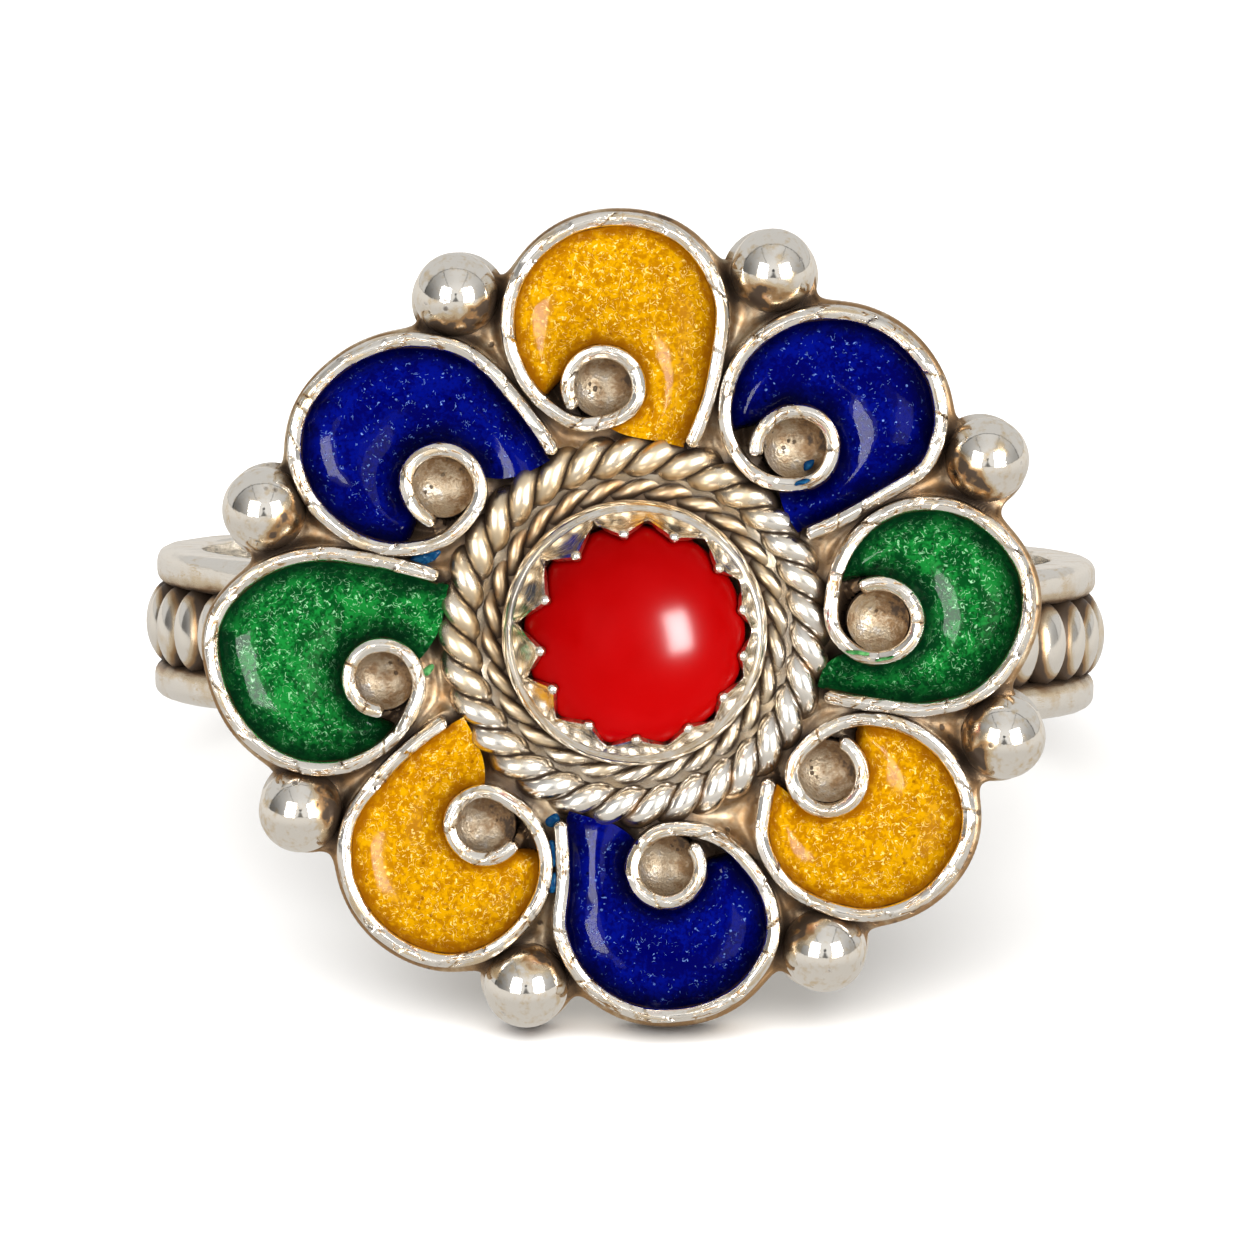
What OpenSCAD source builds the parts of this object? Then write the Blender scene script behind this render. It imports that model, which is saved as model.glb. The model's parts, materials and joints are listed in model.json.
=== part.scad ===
/* [Band] */
// Inside diameter of the finger hole
finger_d = 18.8; // [18.2:0.1:19.4]
// Width of the band along the finger
band_w = 3.3; // [3.1:0.1:3.6]
// Thickness of the two outer rails
rail_t = 1; // [0.9:0.05:1.1]
// Width of one rail
rail_w = 0.8; // [0.75:0.05:0.9]
// Height of the beaded row above the finger hole
bead_t = 1.23; // [1.15:0.01:1.3]
/* [Head] */
// Thickness of the back plate
plate_t = 0.5; // [0.45:0.05:0.6]
// Width that the plate shows outside the scroll wires
plate_flange = 0.15; // [0.1:0.01:0.2]
// Height of the bezel's centre above the middle of the band
head_rise = 0.57; // [0.5:0.01:0.75]
// Offset of the bezel's centre to the right of the band's middle
head_side = 0.2; // [0:0.01:0.3]
// Depth that the band sinks into the back plate where it is soldered
solder_depth = 0.2; // [0.15:0.01:0.3]
/* [Scrolls] */
// Thickness of the flat scroll wire
wire_t = 0.27; // [0.22:0.01:0.3]
// Height of the scroll wires above the plate
wire_h = 1.1; // [0.9:0.05:1.2]
// Radius of the dished cup inside each curl
cup_r = 0.66; // [0.6:0.01:0.68]
// Height of the cup's rim above the plate
cup_h = 0.45; // [0.35:0.05:0.6]
/* [Enamel] */
// Mean height of the enamel above the plate
enamel_h = 0.7; // [0.5:0.05:0.9]
// Gap between the enamel and the metal
enamel_gap = 0.03; // [0.02:0.01:0.05]
/* [Balls and ropes] */
// Diameter of the solder balls between the petals
ball_d = 1.8; // [1.7:0.02:1.86]
// Diameter of the thick outer rope
outer_rope_d = 0.75; // [0.7:0.01:0.78]
// Radius of the outer rope's centre line
outer_rope_r = 3.75; // [3.7:0.01:3.8]
// Diameter of the thin inner rope
inner_rope_d = 0.53; // [0.48:0.01:0.56]
// Radius of the inner rope's centre line
inner_rope_r = 3.03; // [3:0.01:3.06]
/* [Bezel and stone] */
// Diameter of the coral at its widest
coral_d = 5.1; // [5:0.02:5.14]
// Height of the coral's dome above its widest part
coral_rise = 1.8; // [1.6:0.05:2]
// Height of the coral's widest part above the plate
girdle_h = 1.2; // [1:0.05:1.3]
// Thickness of the bezel's wall
bezel_t = 0.22; // [0.18:0.01:0.24]
// Number of teeth round the bezel
teeth = 13; // [12:1:14]
// Gap between the coral and the bezel
coral_gap = 0.03; // [0.02:0.01:0.05]

/* [Hidden] */
$fn = 96;

finger_r = finger_d / 2;
rail_corner = 0.3;
row_w = band_w - 2 * rail_w;
row_overlap = 0.05;
bead_r = row_w / 2;

wire_top = plate_t + wire_h;
facets_per_span = 4;
heading_step = 0.01;
dish_r = 1.05 * cup_r;
dish_drop = 0.5 * dish_r;
seat = finger_r + rail_t - solder_depth;
sink = 0.05;

coral_r = coral_d / 2;
dome_r = (coral_r ^ 2 + coral_rise ^ 2) / (2 * coral_rise);
girdle_z = plate_t + girdle_h;
dome_z = girdle_z + coral_rise - dome_r;
bezel_in = coral_r + coral_gap;
bezel_out = bezel_in + bezel_t;
tooth_from = asin((girdle_z - dome_z) / dome_r);
tooth_to = 37;
notch_half = 8;
notch_floor = girdle_z + 0.3;

core_r = 6;
ball_plate_r = 0.88;
ball_z = plate_t + 0.5;
web_r = 1.2;
web_back = 0.9;
rope_clear_r = outer_rope_r + outer_rope_d / 2 + enamel_gap;

// Middle of each ball, from the bezel's centre, clockwise from the top left
BALLS = [
    [-3.8, 7.18],
    [2.95, 7.69],
    [7.51, 3.66],
    [7.87, -2.26],
    [4.06, -6.82],
    [-2.31, -7.58],
    [-7.12, -3.83],
    [-7.89, 2.6]
];

// Columns of the petal table, after the name that starts each row
GLAZE = 1;
LOBE = 2;
LOBE_R = 3;
CURL = 4;
ENDS = 5;
ROUTE = 6;

// Each row is one petal, clockwise from the top.
// Its columns are the name, the enamel's colour, the lobe's centre and radius and the curl's centre.
// Then come three stations, counted in points along the route.
// The enamel leaves the outer turn at the first, and follows the curl's outside from the second to the third.
// Last comes the wire's route from its tail round the lobe and into the curl, from the bezel's centre.
PETALS = [
    ["yellow_top", "goldenrod", [-0.42, 6.5], 2.28, [-0.67, 5.22], [8, 12, 9.5], [
        [1.18, 3.96], [1.76, 5.79], [1.84, 7.07], [0.97, 8.43], [-0.31, 8.8],
        [-1.69, 8.43], [-2.69, 6.86], [-2.55, 5.79], [-1.95, 4.9], [-0.95, 4.43],
        [0.1, 5.28], [-0.67, 5.99], [-1.42, 5.33], [-1.25, 4.77]
    ]],
    ["blue_upper_right", "navy", [4.25, 4.56], 2.26, [3.42, 3.92], [7.8, 12.5, 9.1], [
        [3.65, 2.08], [5.22, 2.88], [6.27, 3.66], [6.52, 4.7], [5.95, 6.03],
        [4.72, 6.76], [3.17, 6.6], [2, 5.3], [2.08, 3.96], [2.95, 3.19],
        [4.15, 3.6], [4, 4.5], [3.2, 4.68], [2.6, 3.74]
    ]],
    ["green_right", "forestgreen", [6.29, 0.6], 2.15, [5.19, 0.24], [9, 13.8, 10.3], [
        [4.05, -1.34], [5.2, -1.56], [6.3, -1.63], [7.33, -1.32], [8.18, -0.3],
        [8.37, 1], [7.66, 2.2], [6.33, 2.76], [5, 2.32], [4.25, 1.05],
        [4.36, -0.12], [5.19, -0.55], [6.03, 0.24], [5.6, 0.95], [4.78, 0.93]
    ]],
    ["yellow_lower_right", "goldenrod", [4.93, -3.94], 2.17, [4.11, -2.98], [9.5, 13.7, 11.1], [
        [2.89, -3.14], [2.75, -3.86], [2.72, -4.37], [3.1, -5.22], [3.98, -5.83],
        [5.16, -6.02], [6.53, -5.34], [7.12, -4.11], [6.75, -2.81], [5.57, -1.94],
        [3.98, -2.16], [3.38, -3.22], [4.24, -3.8], [4.85, -2.93], [4.37, -2.31]
    ]],
    ["blue_bottom", "navy", [0.75, -6.1], 2.1, [0.69, -4.98], [7.4, 12.3, 9.3], [
        [-1.59, -4.03], [-1.52, -5.21], [-1.56, -6.54], [-0.61, -7.83], [0.91, -8.18],
        [2.34, -7.57], [2.97, -6.32], [2.57, -5.14], [1.24, -4.22], [0.35, -4.35],
        [-0.04, -5.14], [0.57, -5.76], [1.4, -5.06], [1.2, -4.51]
    ]],
    ["yellow_lower_left", "goldenrod", [-4.01, -4.84], 2.15, [-3.2, -4.12], [7, 11.9, 9], [
        [-4.02, -1.87], [-5.37, -3.03], [-6.07, -4], [-6.14, -5.14], [-5.08, -6.65],
        [-3.8, -7], [-2.42, -6.28], [-1.92, -4.66], [-2.57, -3.66], [-3.41, -3.42],
        [-3.93, -4.03], [-3.27, -4.83], [-2.53, -4.47]
    ]],
    ["green_left", "forestgreen", [-6.74, -0.6], 2.27, [-5.34, -1], [8.85, 13.8, 10.4], [
        [-4.17, 1.19], [-5.67, 1.56], [-6.78, 1.67], [-8.14, 1.19], [-8.96, 0.18],
        [-8.9, -0.96], [-8.22, -2.22], [-7.07, -2.87], [-5.93, -2.78], [-4.86, -1.89],
        [-4.6, -1], [-5.08, -0.32], [-5.89, -0.47], [-6.04, -1.22], [-5.34, -1.68]
    ]],
    ["blue_upper_left", "navy", [-5.04, 3.98], 2.25, [-4.07, 3.1], [8.2, 13.3, 10.1], [
        [-1.71, 3.8], [-2.5, 4.96], [-3.61, 6], [-4.73, 6.23], [-6.24, 5.71],
        [-7.15, 4.54], [-7.19, 3.5], [-6.44, 2.33], [-5.08, 1.77], [-3.73, 2.23],
        [-3.28, 3.15], [-4.05, 3.9], [-4.81, 3.47], [-4.61, 2.59], [-4.23, 2.33]
    ]]
];

// The ring lies on its side: it leans back until the band's rear edge and the lowest petal touch the surface.
lowest_petal = PETALS[4];
head_drop = lowest_petal[LOBE_R] + wire_t / 2 + plate_flange - lowest_petal[LOBE].y - head_rise;
corner_r = finger_r + rail_t - rail_corner;
corner_z = band_w / 2 - rail_corner;
span = seat + corner_r;
fall = head_drop - corner_z;
lean = atan2(fall, span) - asin(rail_corner / norm([span, fall]));
lift = head_drop * cos(lean) - seat * sin(lean);
ball_r = ball_d / 2;
ball_reach = [for (b = BALLS) (seat + ball_z) * cos(lean) - (head_rise + b.y) * sin(lean) + ball_r];
front_reach = max(ball_reach);
back_reach = corner_r * cos(lean) + corner_z * sin(lean) + rail_corner;

// Unit vector along v
function unit(v) = v / norm(v);

// Tangent at the middle one of three points, along the circle through them
function circle_tangent(a, b, c) = unit((b - a) / norm(b - a) ^ 2 + (c - b) / norm(c - b) ^ 2);

// Tangent t turned over about the chord from a to b
function mirrored(t, a, b) = 2 * (unit(b - a) * t) * unit(b - a) - t;

// Tangent at point i of a route
function tangent(p, i) =
    i == 0 ? mirrored(tangent(p, 1), p[0], p[1]) :
    i == len(p) - 1 ? mirrored(tangent(p, i - 1), p[i - 1], p[i]) :
    circle_tangent(p[i - 1], p[i], p[i + 1]);

// Length of the tangent that makes a span from a to b bend like a circle
function pull(t, a, b) = 2 * norm(b - a) / (1 + t * unit(b - a));

// Point at station s of a route, where whole numbers are the route's own points
function at(p, s) =
    let (
        i = min(floor(s), len(p) - 2),
        u = s - i,
        a = p[i],
        b = p[i + 1],
        ta = tangent(p, i),
        tb = tangent(p, i + 1)
    )
    (2 * u ^ 3 - 3 * u ^ 2 + 1) * a + (u ^ 3 - 2 * u ^ 2 + u) * pull(ta, a, b) * ta
    + (3 * u ^ 2 - 2 * u ^ 3) * b + (u ^ 3 - u ^ 2) * pull(tb, a, b) * tb;

// Direction of a route at station s
function heading(p, s) =
    let (
        from = max(s - heading_step, 0),
        to = min(s + heading_step, len(p) - 1)
    )
    unit(at(p, to) - at(p, from));

// Point at station s, moved d to the left of the route
function beside(p, s, d) = at(p, s) + d * [-heading(p, s).y, heading(p, s).x];

// Line at distance d to the left of a route, from station s0 to s1
function side_line(p, s0, s1, d) =
    let (n = max(2, ceil(abs(s1 - s0) * facets_per_span)))
    [for (k = [0:n]) beside(p, s0 + (s1 - s0) * k / n, d)];

// One rail of the band, with its outer corners rounded
module rail_section() {
    square([rail_t - rail_corner, rail_w]);
    translate([0, rail_corner])
        square([rail_t, rail_w - 2 * rail_corner]);
    for (z = [rail_corner, rail_w - rail_corner])
        translate([rail_t - rail_corner, z])
            circle(rail_corner);
}

// Cross-section of the band: two rails and the half-round row between them
module band_section() {
    for (z = [-band_w / 2, band_w / 2 - rail_w])
        translate([finger_r, z])
            rail_section();
    translate([finger_r, -row_w / 2 - row_overlap])
        square([bead_t - bead_r, row_w + 2 * row_overlap]);
    intersection() {
        translate([finger_r + bead_t - bead_r, 0])
            circle(bead_r);
        translate([finger_r + row_overlap, -band_w / 2])
            square([bead_t, band_w]);
    }
}

module band() {
    rotate_extrude()
        band_section();
}

// Scalloped plate under the petals, the balls and the bezel
module back_plate() {
    cylinder(h = plate_t, r = core_r);
    for (p = PETALS)
        translate(p[LOBE])
            cylinder(h = plate_t, r = p[LOBE_R] + wire_t / 2 + plate_flange);
    for (b = BALLS) {
        translate(b)
            cylinder(h = plate_t, r = ball_plate_r);
        translate(b - web_back * unit(b))
            cylinder(h = plate_t, r = web_r);
    }
}

module scroll_wire(route) {
    last = len(route) - 1;
    left = side_line(route, 0, last, wire_t / 2);
    right = side_line(route, last, 0, -wire_t / 2);
    translate([0, 0, plate_t - sink])
        linear_extrude(wire_h + sink)
            polygon(concat(left, right));
}

// Dished cup that fills a curl
module cup() {
    difference() {
        translate([0, 0, plate_t - sink])
            cylinder(h = cup_h + sink, r = cup_r);
        translate([0, 0, plate_t + cup_h + dish_drop])
            sphere(dish_r);
    }
}

module rope(r, d) {
    translate([0, 0, plate_t + d / 2 - sink])
        rotate_extrude()
            translate([r, 0])
                circle(d / 2);
}

// Point of the bezel's collar at angle a up the dome, d outside the stone's clearance
function collar(a, d) = (dome_r + coral_gap + d) * [cos(a), sin(a)] + [0, dome_z];

module bezel() {
    tooth_mid = (tooth_from + tooth_to) / 2;
    difference() {
        rotate_extrude()
            polygon([
                [bezel_in, plate_t - sink],
                [bezel_out, plate_t - sink],
                [bezel_out, girdle_z],
                collar(tooth_mid, bezel_t),
                collar(tooth_to, bezel_t),
                collar(tooth_to, 0),
                collar(tooth_mid, 0),
                [bezel_in, girdle_z]
            ]);
        for (k = [0:teeth - 1])
            rotate([0, 0, 360 * k / teeth])
                tooth_notch();
    }
}

// V between two teeth, cut right through the collar
module tooth_notch() {
    notch_rise = coral_rise;
    notch_w = 2 * bezel_out * tan(notch_half) * notch_rise / (dome_z + dome_r * sin(tooth_to) - notch_floor);
    translate([coral_r / 2, 0, notch_floor])
        rotate([90, 0, 90])
            linear_extrude(coral_r)
                polygon([[0, 0], [notch_w, notch_rise], [-notch_w, notch_rise]]);
}

// Metal of the head, seen from the front with its back face at zero
module head_metal() {
    back_plate();
    for (p = PETALS) {
        scroll_wire(p[ROUTE]);
        translate(p[CURL])
            cup();
    }
    for (b = BALLS)
        translate([b.x, b.y, ball_z])
            sphere(ball_r);
    rope(outer_rope_r, outer_rope_d);
    rope(inner_rope_r, inner_rope_d);
    bezel();
}

// Domed stone inside the bezel
module coral_stone() {
    translate([0, 0, plate_t + coral_gap])
        cylinder(h = girdle_h - coral_gap, r = coral_r);
    intersection() {
        translate([0, 0, dome_z])
            sphere(dome_r);
        translate([0, 0, girdle_z - sink])
            cylinder(h = coral_rise * 2, r = coral_r);
    }
}

// Enamel fill of one petal, with a small gap to the metal all round
module enamel_fill(petal) {
    route = petal[ROUTE];
    ends = petal[ENDS];
    off = wire_t / 2 + enamel_gap;
    outer = side_line(route, 0, ends[0], off);
    inner = side_line(route, ends[1], ends[2], -off);
    difference() {
        translate([0, 0, plate_t + enamel_gap])
            linear_extrude(enamel_h - enamel_gap)
                polygon(concat(outer, inner));
        cylinder(h = wire_top, r = rope_clear_r);
    }
}

// Stands the head's front towards -Y at the band's front
module on_band() {
    translate([head_side, -seat, head_rise])
        rotate([90, 0, 0])
            children();
}

// Lays the whole ring on its side on the surface
module at_rest() {
    translate([0, (front_reach - back_reach) / 2, lift])
        rotate([-lean, 0, 0])
            children();
}

module silver_mount() {
    color("silver")
        at_rest() {
            band();
            on_band()
                head_metal();
        }
}

module coral() {
    color("red")
        at_rest()
            on_band()
                coral_stone();
}

module enamel(name) {
    petal = PETALS[search([name], PETALS)[0]];
    color(petal[GLAZE])
        at_rest()
            on_band()
                enamel_fill(petal);
}

silver_mount();
coral();
enamel("yellow_top");  // enamel_yellow_top
enamel("blue_upper_right");  // enamel_blue_upper_right
enamel("green_right");  // enamel_green_right
enamel("yellow_lower_right");  // enamel_yellow_lower_right
enamel("blue_bottom");  // enamel_blue_bottom
enamel("yellow_lower_left");  // enamel_yellow_lower_left
enamel("green_left");  // enamel_green_left
enamel("blue_upper_left");  // enamel_blue_upper_left
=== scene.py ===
"""Looks of the coral ring: its silver, enamel and coral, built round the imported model."""

import json
import logging
import math
import random
from collections.abc import Callable, Sequence
from dataclasses import dataclass, field
from enum import Enum
from typing import Protocol

import bmesh
import bpy
import numpy as np
from mathutils import Matrix, Vector, noise

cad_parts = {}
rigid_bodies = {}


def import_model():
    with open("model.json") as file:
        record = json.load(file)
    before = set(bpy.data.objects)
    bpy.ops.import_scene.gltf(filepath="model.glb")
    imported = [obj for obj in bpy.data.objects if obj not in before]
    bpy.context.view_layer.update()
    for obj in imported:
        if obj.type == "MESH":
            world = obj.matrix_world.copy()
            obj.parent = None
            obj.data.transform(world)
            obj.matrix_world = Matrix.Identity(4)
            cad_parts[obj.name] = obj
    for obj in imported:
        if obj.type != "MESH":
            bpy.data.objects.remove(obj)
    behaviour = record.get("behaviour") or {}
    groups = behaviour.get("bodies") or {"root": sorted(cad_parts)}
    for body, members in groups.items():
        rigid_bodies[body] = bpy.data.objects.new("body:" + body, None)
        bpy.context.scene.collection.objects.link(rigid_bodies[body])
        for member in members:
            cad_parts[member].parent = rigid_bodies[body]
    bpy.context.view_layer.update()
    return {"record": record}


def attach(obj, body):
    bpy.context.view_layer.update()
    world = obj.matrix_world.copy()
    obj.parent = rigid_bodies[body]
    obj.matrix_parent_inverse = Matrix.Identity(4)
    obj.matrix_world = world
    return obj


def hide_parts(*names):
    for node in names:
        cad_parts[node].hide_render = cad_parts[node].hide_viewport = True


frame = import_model()

log = logging.getLogger("coral_ring")

MM = 0.001
FULL_TURN = 2 * math.pi
IMAGE_SIDE = 1254
MM_PER_PIXEL = 0.0213
BEZEL_PIXEL = (634.5, 632.0)

FINGER_R = 9.4
BAND_WIDTH = 3.3
HEAD_SIDE = 0.2
HEAD_RISE = 0.57
HEAD_SEAT = 10.2
PLATE_T = 0.5
WIRE_T = 0.3
WIRE_TOP = 1.6
ROPE_CLEAR_R = 4.08
SAME_SPOT = 1e-4

# Low, so that the white room doesn't veil the deep colours of the photograph
GLASS_IOR = 1.08

Colour = tuple[float, float, float]
Point = tuple[float, float]


def bore_matrix() -> Matrix:
    """Places the ring's own millimetres, with the finger hole along Z, in the frame.

    Returns:
        The matrix from the ring's millimetres to the frame's metres.
    """
    bore = next(m for m in frame["record"]["mounts"] if m["name"] == "finger_bore")
    lean = math.atan2(bore["axis"][1], bore["axis"][2])
    turn = Matrix.Rotation(-lean, 4, "X")
    return Matrix.Translation(Vector(bore["pos_m"])) @ turn @ Matrix.Scale(MM, 4)


RING = bore_matrix()
HEAD_SPOT = Matrix.Translation((HEAD_SIDE, -HEAD_SEAT, HEAD_RISE))
HEAD = RING @ HEAD_SPOT @ Matrix.Rotation(math.pi / 2, 4, "X")


class Glaze(Enum):
    """Colours of the enamel."""

    YELLOW = "yellow_enamel"
    BLUE = "blue_enamel"
    GREEN = "green_enamel"


# Shader maths


@dataclass(frozen=True)
class Signal:
    """A shader socket that takes part in Python expressions.

    Attributes:
        shader: The shader that the socket belongs to.
        socket: The output socket.
    """

    shader: "Shader"
    socket: bpy.types.NodeSocket

    def math(self, operation: str, *terms: "Signal | float") -> "Signal":
        """Adds one Math node.

        Args:
            operation: Name of the Math node's operation.
            terms: What goes into its sockets, in order.

        Returns:
            The node's result.
        """
        return self.shader.node("ShaderNodeMath", {"operation": operation}, dict(enumerate(terms)))

    def __add__(self, other: "Signal | float") -> "Signal":
        """Sum of two values."""
        return self.math("ADD", self, other)

    def __sub__(self, other: "Signal | float") -> "Signal":
        """Difference of two values."""
        return self.math("SUBTRACT", self, other)

    def __mul__(self, other: "Signal | float") -> "Signal":
        """Product of two values."""
        return self.math("MULTIPLY", self, other)

    def __rsub__(self, other: float) -> "Signal":
        """Difference with the plain number first."""
        return self.math("SUBTRACT", other, self)

    def __abs__(self) -> "Signal":
        """Absolute value."""
        return self.math("ABSOLUTE", self)

    __radd__ = __add__
    __rmul__ = __mul__

    def step(self, start: float, end: float) -> "Signal":
        """Smooth step from 0 at start to 1 at end.

        Args:
            start: Value that gives 0.
            end: Value that gives 1. It may be the smaller one.

        Returns:
            The stepped value, from 0 to 1.
        """
        low, high = min(start, end), max(start, end)
        stepped = self.shader.node(
            "ShaderNodeMapRange",
            {"interpolation_type": "SMOOTHSTEP"},
            {"Value": self, "From Min": low, "From Max": high},
        )
        return stepped if start < end else 1 - stepped

    def most(self, other: "Signal | float") -> "Signal":
        """Larger of two values."""
        return self.math("MAXIMUM", self, other)


class Shader:
    """A node tree of a material or of the room."""

    def __init__(self, owner: bpy.types.Material | bpy.types.World) -> None:
        """Empties the tree.

        Args:
            owner: What the tree shades.
        """
        self.owner = owner
        owner.use_nodes = True
        self.tree = owner.node_tree
        self.tree.nodes.clear()

    @classmethod
    def named(cls, name: str) -> "Shader":
        """Makes a material and its shader."""
        return cls(bpy.data.materials.new(name))

    def node(
        self,
        kind: str,
        settings: dict[str, object] | None = None,
        inputs: dict[str | int, object] | None = None,
        output: str | int = 0,
    ) -> Signal:
        """Adds any node.

        Args:
            kind: The node's type.
            settings: Properties of the node, set before its sockets.
            inputs: Values or signals by socket name or number.
            output: Name or number of the output that is wanted.

        Returns:
            That output.
        """
        made = self.tree.nodes.new(kind)
        for key, value in (settings or {}).items():
            setattr(made, key, value)
        for key, value in (inputs or {}).items():
            if isinstance(value, Signal):
                self.tree.links.new(value.socket, made.inputs[key])
            else:
                made.inputs[key].default_value = value
        return Signal(self, made.outputs[output])

    def millimetres(self) -> Signal:
        """Object coordinates in millimetres."""
        place = self.node("ShaderNodeTexCoord", output="Object")
        return self.node("ShaderNodeVectorMath", {"operation": "SCALE"}, {0: place, "Scale": 1 / MM})

    def moved(self, point: Signal, by: tuple[float, float, float]) -> Signal:
        """Point moved by a vector."""
        return self.node("ShaderNodeVectorMath", {"operation": "ADD"}, {0: point, 1: by})

    def noise(
        self, point: Signal, scale: float, detail: float = 2, twist: float = 0, shift: float = 0
    ) -> Signal:
        """Soft noise from 0 to 1.

        Args:
            point: Where it is read.
            scale: Waves to a millimetre.
            detail: Octaves of finer noise.
            twist: Distortion.
            shift: Slides the pattern, so that two of them differ.

        Returns:
            The noise's value.
        """
        there = self.moved(point, (shift, 0.7 * shift, -shift))
        sockets = {"Vector": there, "Scale": scale, "Detail": detail, "Distortion": twist}
        return self.node("ShaderNodeTexNoise", inputs=sockets)

    def dots(self, point: Signal, scale: float, radius: float, share: float, shift: float = 0) -> Signal:
        """Scattered round specks.

        Args:
            point: Where they are read.
            scale: Cells to a millimetre.
            radius: Radius of a speck, in cells.
            share: Share of the cells that have one.
            shift: Slides the pattern.

        Returns:
            A mask that is 1 inside a speck.
        """
        sockets = {"Vector": self.moved(point, (shift, -shift, 0.4 * shift)), "Scale": scale}
        distance = self.node("ShaderNodeTexVoronoi", inputs=sockets, output="Distance")
        chance = self.node("ShaderNodeTexVoronoi", inputs=sockets, output="Color")
        parts = self.node("ShaderNodeSeparateColor", inputs={0: chance})
        return distance.step(radius, 0.5 * radius) * parts.step(1.02 - share, 1.04 - share)

    def mix(self, share: Signal | float, first: Signal | Colour, second: Signal | Colour) -> Signal:
        """Blend of two colours.

        Args:
            share: How much of the second colour shows.
            first: The first colour.
            second: The second colour.

        Returns:
            The blended colour.
        """
        a, b = (c if isinstance(c, Signal) else (*c, 1.0) for c in (first, second))
        return self.node("ShaderNodeMix", {"data_type": "RGBA"}, {0: share, 6: a, 7: b}, 2)

    def finish(self, sockets: dict[str, object], height: Signal, depth_mm: float) -> bpy.types.Material:
        """Adds the Principled shader and the output.

        Args:
            sockets: Values or signals of the shader's sockets.
            height: Height of the fine relief, from 0 to 1.
            depth_mm: Depth of that relief in millimetres.

        Returns:
            The finished material.
        """
        relief = {"Strength": 1.0, "Distance": depth_mm * MM, "Height": height}
        bump = self.node("ShaderNodeBump", inputs=relief)
        surface = self.node("ShaderNodeBsdfPrincipled", inputs={**sockets, "Normal": bump})
        self.show(surface, "ShaderNodeOutputMaterial")
        return self.owner

    def show(self, surface: Signal, kind: str) -> None:
        """Joins a surface to the tree's output.

        Args:
            surface: The surface or background.
            kind: Type of the output node.
        """
        out = self.tree.nodes.new(kind)
        self.tree.links.new(surface.socket, out.inputs["Surface"])


# Finishes


@dataclass(frozen=True)
class SilverFinish:
    """Silver, bright where it is rubbed and lit, and brown with oxide and painted shade in its recesses.

    Attributes:
        name: Name of the material.
        gloss: Roughness of the bright metal.
        dull: Roughness of the oxidised metal.
        reach: Width of the recesses that darken with oxide and painted shade, in millimetres.
        tan: How much oxide lies on open faces, from 0 to 1.
        age: How strongly recesses darken.
        clouds: How much the oxide varies from place to place.
        patch: Patches of that oxide to a millimetre.
        pits: Share of the metal with casting pits.
        pit_scale: Cells of those pits to a millimetre.
        relief: Depth of the fine relief in millimetres.
        grain: Waves of that relief to a millimetre.
        streaks: Strength of the marks that run along the metal.
    """

    name: str
    gloss: float = 0.14
    dull: float = 0.4
    reach: float = 0.45
    tan: float = 0.12
    age: float = 1.35
    clouds: float = 0.5
    patch: float = 0.9
    pits: float = 0.1
    pit_scale: float = 5.0
    relief: float = 0.006
    grain: float = 6.0
    streaks: float = 0.0

    BRIGHT = (0.92, 0.89, 0.835)
    WARM = (0.78, 0.64, 0.445)
    AMBER = (0.44, 0.265, 0.125)
    DARK = (0.07, 0.045, 0.028)
    ALONG = (1.1, 9.0, 1.0)

    def build(self) -> bpy.types.Material:
        """Makes the material.

        Returns:
            The material.
        """
        shader = Shader.named(self.name)
        point = shader.millimetres()
        reach = {"Distance": self.reach * MM}
        # Ambient occlusion darkens the recesses: partly the oxide that the silver holds in its hollows,
        # partly painted shade in crevices and between parts.
        open_air = shader.node("ShaderNodeAmbientOcclusion", {"samples": 2}, reach, "AO")
        # The vertex layer adds each piece's own stains, painted shade and painted highlight.
        mark = shader.node("ShaderNodeAttribute", {"attribute_name": "grime"}, output="Fac")
        cloud = shader.noise(point, self.patch, 4)
        mottle = shader.noise(point, self.grain, 4, shift=3)
        recess = (1 - open_air) * self.age
        age = recess + (cloud - 0.5) * self.clouds + (mottle - 0.5) * 0.45 + mark + self.tan
        relief = mottle + shader.noise(point, 1.7, 1) * 2
        if self.streaks:
            flow = shader.node("ShaderNodeAttribute", {"attribute_name": "flow"}, output="Vector")
            along = {0: flow, 1: self.ALONG}
            drawn = shader.node("ShaderNodeVectorMath", {"operation": "MULTIPLY"}, along)
            streak = shader.noise(drawn, 1.0, 3, 0.3)
            places = shader.noise(point, 2.6, 1, shift=21).step(0.42, 0.55)
            scratch = abs(streak - 0.5).step(0.03, 0.008) * places
            age = age + (streak.step(0.5, 0.66) * 0.5 + scratch * 1.1) * self.streaks
            relief = relief + (streak * 2 - scratch) * self.streaks
        spread = 0.58 - 0.22 * self.pits
        pitted = shader.noise(point, 1.6, 2, shift=8).step(spread, spread + 0.12)
        pit = shader.dots(point, self.pit_scale, 0.42, self.pits) * pitted
        dark = age.step(0.72, 0.92).most(pit * 0.85)
        rubbed_and_lit = shader.mix(age.step(0.12, 0.42), self.BRIGHT, self.WARM)
        colour = shader.mix(dark, shader.mix(age.step(0.42, 0.72), rubbed_and_lit, self.AMBER), self.DARK)
        worn = age.step(0.1, 0.6) * (self.dull - self.gloss)
        rough = worn + self.gloss + dark * 0.12 + (mottle - 0.5) * 0.06
        sockets = {"Base Color": colour, "Metallic": 1 - dark * 0.5, "Roughness": rough}
        return shader.finish(sockets, relief - pit * 2.5, self.relief)


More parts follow.
